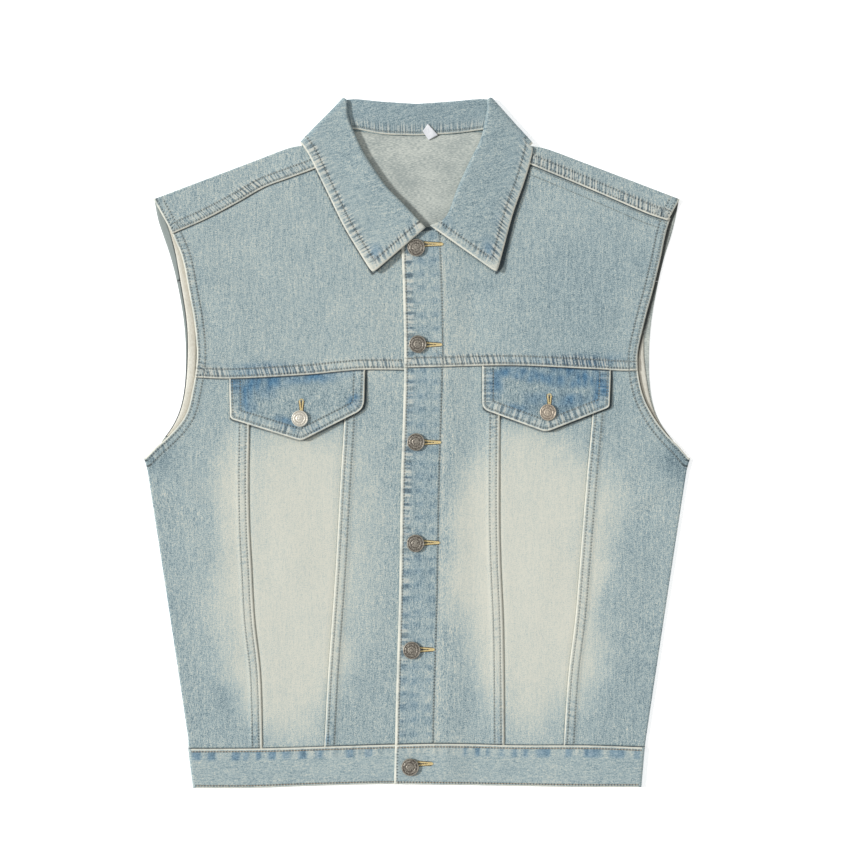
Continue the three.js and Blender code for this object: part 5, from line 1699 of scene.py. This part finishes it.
def collar():
    """The collar: two halves meeting at the middle of the back, puckered and worn along the fall's edge."""
    outer, inner, face = [], [], []
    for side in ("right", "left"):
        station, up, along = collar_half(side)
        parts = collar_sections(station, up, along)
        order = slice(None) if side == "right" else slice(-2, None, -1)
        for kept, part in zip((outer, inner, face), parts):
            kept.append(part[order])
    outer, inner, face = (np.concatenate(parts) for parts in (outer, inner, face))
    middle = (outer + inner) / 2
    rows, columns = middle.shape[:2]
    steps = np.linalg.norm(np.diff(middle, axis=1), axis=-1)
    from_edge = np.concatenate([np.cumsum(steps[:, ::-1], 1)[:, ::-1], np.zeros((rows, 1))], 1)
    edge_steps = np.linalg.norm(np.diff(middle[:, -1], axis=0), axis=-1)
    along_edge = np.repeat(np.concatenate([[0], np.cumsum(edge_steps)])[:, None], columns, 1)
    leaf, at = LEAF_STATIONS, np.arange(columns)[None]
    from_front = np.full((rows, columns), FAR)
    along_front = np.zeros((rows, columns))
    for end, cut in ((0, slice(0, leaf)), (-1, slice(-leaf, None))):
        front = Line(middle[end, STAND_COLUMNS + ROLL_COLUMNS :, :2])
        from_front[cut], along_front[cut] = front.near(middle[cut, :, :2])
    from_front[:, :SHADED_COLUMNS] = FAR
    rope = []
    for away, along, seed in ((from_edge, along_edge, 71), (from_front, along_front, 73)):
        wave = ripple(along, 6.2, seed) + 0.4 * ripple(along, 3.1, seed + 1)
        beyond = 0.45 * smooth((away - 7) / 3) * np.exp(-np.maximum(away - 9, 0) / 7)
        rope.append(wave * (np.exp(-(((away - 5) / 4) ** 2)) + beyond))
    pucker = np.where(from_edge < from_front, rope[0], rope[1])
    worn = np.minimum(from_edge, from_front)
    row_one = np.where(at < SHADED_COLUMNS, FAR, worn - COLLAR_ROW)
    from_seam = np.concatenate([np.zeros((rows, 1)), np.cumsum(steps, 1)], 1)
    row_two = np.where(at < STAND_COLUMNS, from_seam - 3.0, FAR)
    behind = (np.arange(rows) > leaf + 9) & (np.arange(rows) < rows - leaf - 10)
    neck_fold = np.where((at < STAND_COLUMNS) & behind[:, None], from_seam, FAR)
    from_turn = np.minimum(np.arange(rows), rows - 1 - np.arange(rows))[:, None] - leaf - 5
    calm = 1 - np.exp(-((from_turn / 8) ** 2))
    pucker = pucker * calm
    round_edge = 0.25 * (1 - smooth(worn / 1.5))[..., None]
    shift = 0.32 * pucker[..., None] - round_edge
    soft = 0.35 * mottle(middle[..., :2], 26, 77)[..., None] * smooth(worn / 12)[..., None]
    corner = np.clip(1 - (from_edge + from_front) / 8, 0, 1)[..., None] ** 2 * 1.8
    inward = np.zeros((rows, columns, 3))
    for end, along_edge_at, cut in ((0, leaf // 3, slice(0, leaf)), (-1, -leaf // 3, slice(-leaf, None))):
        pull = middle[end, 30] + middle[along_edge_at, -1] - 2 * middle[end, -1]
        inward[cut] = (pull * [1, 1, 0]) / np.linalg.norm(pull[:2])
    outer = outer + face * (shift + soft) + inward * corner
    inner = inner + face * soft + inward * corner
    on_top = smooth((middle[..., 2] - 4) / 3)
    hues = dye(middle[..., :2], "collar")
    stand = (at < SHADED_COLUMNS) * np.ones((rows, 1))
    blue = 0.06 * stand + 0.22 * smooth(mottle(middle[..., :2], 17, 79)) * np.exp(-((worn - 14) / 8) ** 2)
    tip_blue = 0.62 * np.exp(-(((from_edge - 14) / 7) ** 2) - ((from_front - 14) / 7) ** 2)
    hues["indigo"] = np.clip(blue + tip_blue, 0, 1)
    hues["cloud"] += 12 * np.exp(-(((from_edge + from_front) / 15) ** 2))
    hues["cloud"] += 3.2 * (1 - smooth((worn - 4.5) / 3)) * calm
    hues["cloud"] += 1.2 * (np.arange(rows) < leaf)[:, None]
    band = (1 - smooth((worn - 9) / 2)) + 0.65 * np.exp(-np.maximum(worn - 9, 0) / 5) * (worn > 9)
    patchy = 0.6 + 0.7 * smooth(0.5 + mottle(middle[..., :2], 30, 78))
    patchy = patchy * smooth((from_edge + from_front - 9) / 8)
    stand_band = 0.9 * stand * np.exp(-(((from_seam - 5) / 7) ** 2))
    band = np.where(worn < 26, 1.35 * band * patchy * calm * (0.4 + 0.6 * smooth((worn - 3) / 4)), stand_band)
    along = np.where((from_edge < from_front) | (stand > 0), along_edge, along_front)
    grid = dict(outer=outer, inner=inner, worn=np.minimum(worn, neck_fold), row_one=row_one, row_two=row_two)
    beat = along + 0.3 * np.minimum(worn, 30)
    grid.update(band=band, along=along, beat=beat, pucker=pucker * on_top, **hues)
    grid = {key: np.swapaxes(value, 0, 1) for key, value in grid.items()}
    piece = cloth("collar", [grid], "denim_collar", DENIM_COLLAR)
    declare(piece, [grid])
    collar_rows(grid["outer"], np.swapaxes(face, 0, 1))


def collar_rows(skin, look):
    """Stitch rows on the collar: beside the fall's edge, beside both front ends, and beside the neck seam."""

    def keep_inside(paths, distance):
        """A row through the places that lie at a distance from the start of each path over the cloth."""
        found = []
        for path in paths:
            steps = np.linalg.norm(np.diff(skin[path], axis=0), axis=-1)
            reach = np.concatenate([[0], np.cumsum(steps)])
            ways = (skin[path], look[path])
            found.append([[np.interp(distance, reach, axis) for axis in way.T] for way in ways])
        found = np.array(found)
        TONAL.keep_row(found[:, 0], found[:, 1])

    columns, total = skin.shape[:2]
    keep_inside([(slice(None, None, -1), i) for i in range(3, total - 3)], COLLAR_ROW)
    fall = range(STAND_COLUMNS + ROLL_COLUMNS + 1, columns - 5)
    for end in (slice(0, LEAF_STATIONS), slice(-1, -LEAF_STATIONS - 1, -1)):
        keep_inside([(j, end) for j in fall], COLLAR_ROW)
    behind = range(LEAF_STATIONS + 12, total - LEAF_STATIONS - 12)
    keep_inside([(slice(None), i) for i in behind], NECK_ROW)


def flap(side):
    """Pocket flap hung from the chest seam, its lower edge rounded at the corners and lifted at the point."""
    right, f, ply, spacing = side == "right", FLAPS[side], TWO_PLY - 0.4, 1.7

    def top_y(x):
        return chest_y[side](x) - 0.15

    outer_side, lower, inner_side = flap_border(side)
    border = joined(outer_side, lower, inner_side)
    top = across(top_y, *f["top"])
    lines = dict(
        bottom=lower if right else lower.back(),
        top=top if right else top.back(),
        left=outer_side.back() if right else inner_side,
        right=inner_side if right else outer_side.back(),
    )
    for key in ("left", "right"):
        if lines[key].points[0][1] > lines[key].points[-1][1]:
            lines[key] = lines[key].back()
    inward = 1 if right else -1
    seams = [Seam(border, (3.0, 11.0), inward, rope=1.35, pitch=6.6, slant=0.0, seed=81 + right, width=11)]

    def under(points):
        """The flap stands off the panel below its seam, and its point is lifted."""
        hang = top_y(points[..., 0]) - points[..., 1]
        drop = np.clip(hang / (top_y(f["tip"][0]) - f["tip"][1]), 0, 1)
        clear = PLY - 0.75 + 1.5 * smooth(hang / 9) + 0.6 * smooth(hang / 30) + FLAP_LIFT * drop**2
        return front_under(side, points) + clear

    points = patch(**lines, us=shares(lower.length, spacing), vs=shares(60, spacing))
    grid = lay(points, under, seams, "flap", ply, 0.3)
    # painted shade where the flap hangs under the chest seam's edge
    grid["tuck"] = top_y(points[..., 0]) - points[..., 1] - 0.2
    from_lower, along_lower = lower.near(points)
    near_low = np.exp(-(((from_lower - 6.5) / 4.5) ** 2))
    grid["band"] = grid["band"] * (0.4 + 0.3 * near_low)
    grid["indigo"] = grid["indigo"] * (1 - 0.75 * near_low)
    grid["cloud"] = grid["cloud"] + near_low * (2.8 + 3.4 * ripple(along_lower, 6.6, 84))
    piece = cloth(f"pocket_flap_{side}", [grid], "denim_flap", DENIM_FLAP)
    declare(piece, [grid])
    height = surface(under, seams, "flap", ply, 0.3)
    for row in seams[0].rows:
        dense = border.inset(row * inward).at(np.linspace(0.0, 1.0, 260))
        away = border.near(dense)[0]
        dense = dense[(away > row - 0.5) & (dense[:, 1] < top_y(dense[:, 0]) - 2)]
        TONAL.keep_row(raised(dense, height(dense)))
    return height


def facing(side):
    """Cream facing strip on the back's inside, following the armhole, with painted shade beside the front's
    edge.
    """
    inset = column(FACING_INSET, "y", side)

    def edge(reach):
        return upward(lambda y: arm_back_x[side](y) - OUT[side] * (inset(y) + reach), 6, 236)

    left, right = (edge(0), edge(FACING_WIDTH))[:: -OUT[side]]
    foot, head = (Line([left.at(share), right.at(share)]) for share in (0, 1))
    points = patch(foot, head, left, right, shares(9, 1.5), shares(236, 3))
    low = back_under(points) + PLY + 0.15
    round_off = 0.35 * np.abs(np.linspace(-1, 1, points.shape[1]))[None] ** 4
    grid = skins(points, low, low + FACING_PLY - round_off)
    if side == "left":
        # painted shade, near-black, beside the wearer's left front's armhole edge
        grid["tuck"] = armhole_shade(points) + 0.2
    from_front = np.abs(points[..., 0] - arm_front_x[side](points[..., 1]))
    # painted shade, brown, fading away from the front's armhole edge
    grid["indigo"] = 0.35 * np.exp(-((from_front / 4.5) ** 2))
    return cloth(f"armhole_facing_{side}", [grid], "facing_cloth", CREAM_CLOTH)


def label():
    """Blank white tape at the neck seam: one sheet, tilted and slightly waved."""
    low, high = Line(LABEL[:2]), Line(LABEL[3:] + LABEL[2:3])
    left, right, steps = Line([LABEL[0], LABEL[3]]), Line([LABEL[1], LABEL[2]]), shares(11, 0.9)
    points = patch(low, high, left, right, steps, steps)
    base = 3.9 + 0.157 * (points[..., 1] - 304) + 0.25 * np.sin(points[..., 0] * 0.5)
    grid = skins(points, base, base + 0.9)
    declare(cloth("neck_label", [grid], "label_cloth", WHITE_TAPE), [grid])


# Buttons

BUTTON_PROFILE = table(
    "radius z recess",
    (0, 0, 1),
    (0.33, 0, 1),
    (0.3, 1.1, 1),
    (0.8, 1.25, 0.9),
    (0.97, 1.6, 0.6),
    (1.0, 2.1, 0.25),
    (0.985, 2.6, 0.05),
    (0.93, 2.9, 0.0),
    (0.87, 2.85, 0.2),
    (0.83, 2.5, 1.0),
    (0.78, 2.5, 1.0),
    (0.74, 2.66, 0.3),
    (0.66, 2.72, 0.1),
    (0.56, 2.7, 0.25),
    (0.52, 2.5, 0.95),
    (0.47, 2.52, 0.9),
    (0.43, 2.78, 0.1),
    (0.3, 2.95, 0.1),
    (0.2, 2.9, 0.5),
    (0.14, 2.98, 0.1),
    (0, 3.05, 0),
)


def button(name, node, place, seed, material, size):
    """A shank button turned from a profile, its middle ring cut into plain uneven blocks."""
    x, y, z = place
    stops = np.arange(len(BUTTON_PROFILE["z"]))
    profile = np.linspace(0, stops[-1], 61)[:, None]
    radius, height, recess = (np.interp(profile, stops, values) for values in BUTTON_PROFILE.values())
    turn = np.linspace(0, 2 * pi, 72, endpoint=False)[None]
    rng = np.random.default_rng(seed)
    fine, broad = (np.sin(count * turn + rng.uniform(0, 6)) for count in (19, 7))
    ring = np.exp(-(((radius - 0.66) / 0.07) ** 2)) * (profile > 10)
    blocks = smooth(0.5 + 1.6 * fine + 0.9 * broad)
    hub = np.exp(-(((radius - 0.3) / 0.08) ** 2)) * (profile > 14)
    spokes = hub * smooth(0.5 + 1.5 * np.sin(10 * turn + seed))
    height = height + 0.22 * ring * (blocks - 0.5) - 0.16 * spokes
    recess = np.clip(recess + 0.75 * ring * (1 - blocks) + 0.6 * spokes, 0, 1)
    across, ahead = x + size * radius * np.cos(turn), y + size * radius * np.sin(turn)
    points = np.stack([across, ahead, z + height + 0 * turn], -1)
    index = np.arange(points[..., 0].size).reshape(points.shape[:2])
    index[0], index[-1] = index[0, 0], index[-1, 0]
    after = np.roll(index, -1, 1)
    quads = np.stack([index[:-1], after[:-1], after[1:], index[1:]], -1).reshape(-1, 4)
    used, quads = np.unique(quads, return_inverse=True)
    quads = quads.reshape(-1, 4)
    quads = np.where(quads[:, :1] == quads[:, 1:2], quads[:, [0, 2, 3, 0]], quads)
    quads = np.where(quads[:, 2:3] == quads[:, 3:], quads[:, [0, 1, 2, 0]], quads)
    values = {"recess": np.broadcast_to(recess, points.shape[:2]).reshape(-1)[used]}
    piece = add_piece(name, points.reshape(-1, 3)[used], quads, material, "antique_metal", values)
    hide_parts(node)


def buttonhole(start, end, height):
    """A worked buttonhole: short threads side by side down both lips, fanned round the eye and barred at the
    end, with dark threads as painted shade along the lips' outer sides and in the open part of the slit."""
    start, end = np.array(start, float), np.array(end, float)
    length = np.hypot(*(end - start))
    ahead = (end - start) / length
    side = np.array([-ahead[1], ahead[0]])
    count = int(length / 0.75)
    share = (np.arange(count) + 0.5) / count
    centre = start + ahead * (share * length)[:, None]
    spread = 1.45 - 0.8 * share + 0.3 * np.exp(-((share * length / 3) ** 2))

    def keep(centres, ways, length, store=GOLD, rise=0.12):
        ways = raised(ways / np.hypot(*ways.T)[:, None], 0)
        store.keep(raised(centres, height(centres) + rise), ways, np.tile(UP, (len(ways), 1)), length)

    for flip in (-1, 1):
        tilt = side * flip + ahead * (0.3 * np.sin(np.arange(count) * 2.4))[:, None]
        keep(centre + side * (flip * spread)[:, None], tilt, 1.8)
    fan = np.linspace(-0.75 * pi, 0.75 * pi, 9)
    way = -ahead * np.cos(fan)[:, None] + side * np.sin(fan)[:, None]
    keep(start + way * 1.9, way, 1.7)
    keep(end + ahead * np.linspace(-0.4, 0.8, 3)[:, None], np.tile(side, (3, 1)), 2.4)
    # painted shade along the lips' outer sides, as dark threads
    for flip in (-1, 1):
        rim = (centre + side * (flip * (spread + 1.1))[:, None])[::2]
        keep(rim, np.tile(ahead, (len(rim), 1)), 1.5, SLIT_SHADES)
    # painted shade in the open part of the slit, as dark threads
    slit = start + ahead * (np.array([0.06, 0.2, 0.36, 0.56]) * length)[:, None]
    keep(slit, np.tile(ahead, (4, 1)), 2.4, SLIT_SHADES, 0.37)


def placket_height(points):
    """Upper face of the lapped front beside its edge."""
    return front_under("left", points) + PLY + 0.5


def band_height(points):
    """Upper face of the waistband where it laps."""
    return TWO_PLY * 3 + HOLLOW + GAP + 0 * points[..., 0]


def front_fastenings():
    """The front's buttons and buttonholes, the lowest of them on the waistband."""
    for number, ((x, y), (eye_x, hole_y, bar_x)) in enumerate(zip(FRONT_BUTTONS, FRONT_HOLES), 1):
        height = band_height if y < -305 else placket_height
        place = x, y, float(height(np.array([x, y]))) + 0.35
        name, node = f"shank_button_{number}", f"front_button_{number}"
        button(name, node, place, number, ANTIQUE_FRONT, FRONT_BUTTON_RADIUS)
        buttonhole((eye_x, hole_y), (bar_x, hole_y), height)


def flap_fastening(side, height):
    """A flap's button and the upright buttonhole over it."""
    x, y = FLAP_BUTTONS[side]
    place = x, y, float(height(np.array([[x, y]]))[0]) + 0.3
    name, node = f"flap_shank_button_{side}", f"flap_button_{side}"
    button(name, node, place, 9, ANTIQUE_FLAP[side], FLAP_BUTTON_RADIUS)
    eye, bar = ((x + FLAP_HOLE_SHIFT, y + above) for above in FLAP_HOLES[side])
    buttonhole(eye, bar, height)


# Surroundings


def surroundings():
    """A pale floor, a soft key light from the upper left, a pale sky, and the camera straight above."""
    mesh = bpy.data.meshes.new("floor")
    reach, drop = 6.0, 0.0002
    corners = [(x * reach, y * reach, -drop) for x, y in ((-1, -1), (1, -1), (1, 1), (-1, 1))]
    mesh.from_pydata(corners, [], [(0, 1, 2, 3)])
    floor = bpy.data.objects.new("floor", mesh)
    bpy.context.scene.collection.objects.link(floor)
    material, _, shader = new_material("pale_floor", 1.0)
    shader.inputs["Base Color"].default_value = (0.93, 0.93, 0.93, 1)
    shader.inputs["Specular IOR Level"].default_value = 0.0
    shader.inputs["Emission Color"].default_value = (1, 1, 1, 1)
    shader.inputs["Emission Strength"].default_value = 0.5
    mesh.materials.append(material)
    sun = bpy.data.lights.new("key", "SUN")
    sun.energy = 2.35
    sun.angle = 0.14
    key = bpy.data.objects.new("key", sun)
    key.rotation_euler = (-0.15, -0.86, 0.0)
    bpy.context.scene.collection.objects.link(key)
    world = bpy.data.worlds.new("sky")
    world.use_nodes = True
    world.node_tree.nodes["Background"].inputs["Color"].default_value = (0.98, 0.99, 1.0, 1)
    world.node_tree.nodes["Background"].inputs["Strength"].default_value = 0.5
    bpy.context.scene.world = world
    bpy.context.scene.view_settings.view_transform = "Standard"
    lens = bpy.data.cameras.new("camera")
    lens.lens = 100
    lens.sensor_width = 36
    camera = bpy.data.objects.new("camera", lens)
    camera.location = (0.013, 0.012 + CENTRE_Y * MM, 0.86 * 100 / 36 + 0.005)
    bpy.context.scene.collection.objects.link(camera)
    bpy.context.scene.camera = camera


# Assembly

back_panel()
back_yoke()
waistband()
collar()
label()
flap_height = {}
for side in OUT:
    front_yoke(side)
    side_panel(side)
    pocket_panel(side)
    centre_panel(side)
    flap_height[side] = flap(side)
front_fastenings()
for side in OUT:
    flap_fastening(side, flap_height[side])
TONAL.lay("topstitching", 0.38, STITCH_THREAD, "denim_front")
BROWN.lay("waistband_topstitching", 0.42, BROWN_THREAD, "denim_front")
GOLD.lay("buttonhole_threads", 0.42, GOLD_THREAD, "antique_metal")
# the buttonholes' painted shade, as dark threads
SLIT_SHADES.lay("buttonhole_slits", 0.36, SLIT_SHADE_THREAD, "antique_metal")
surroundings()
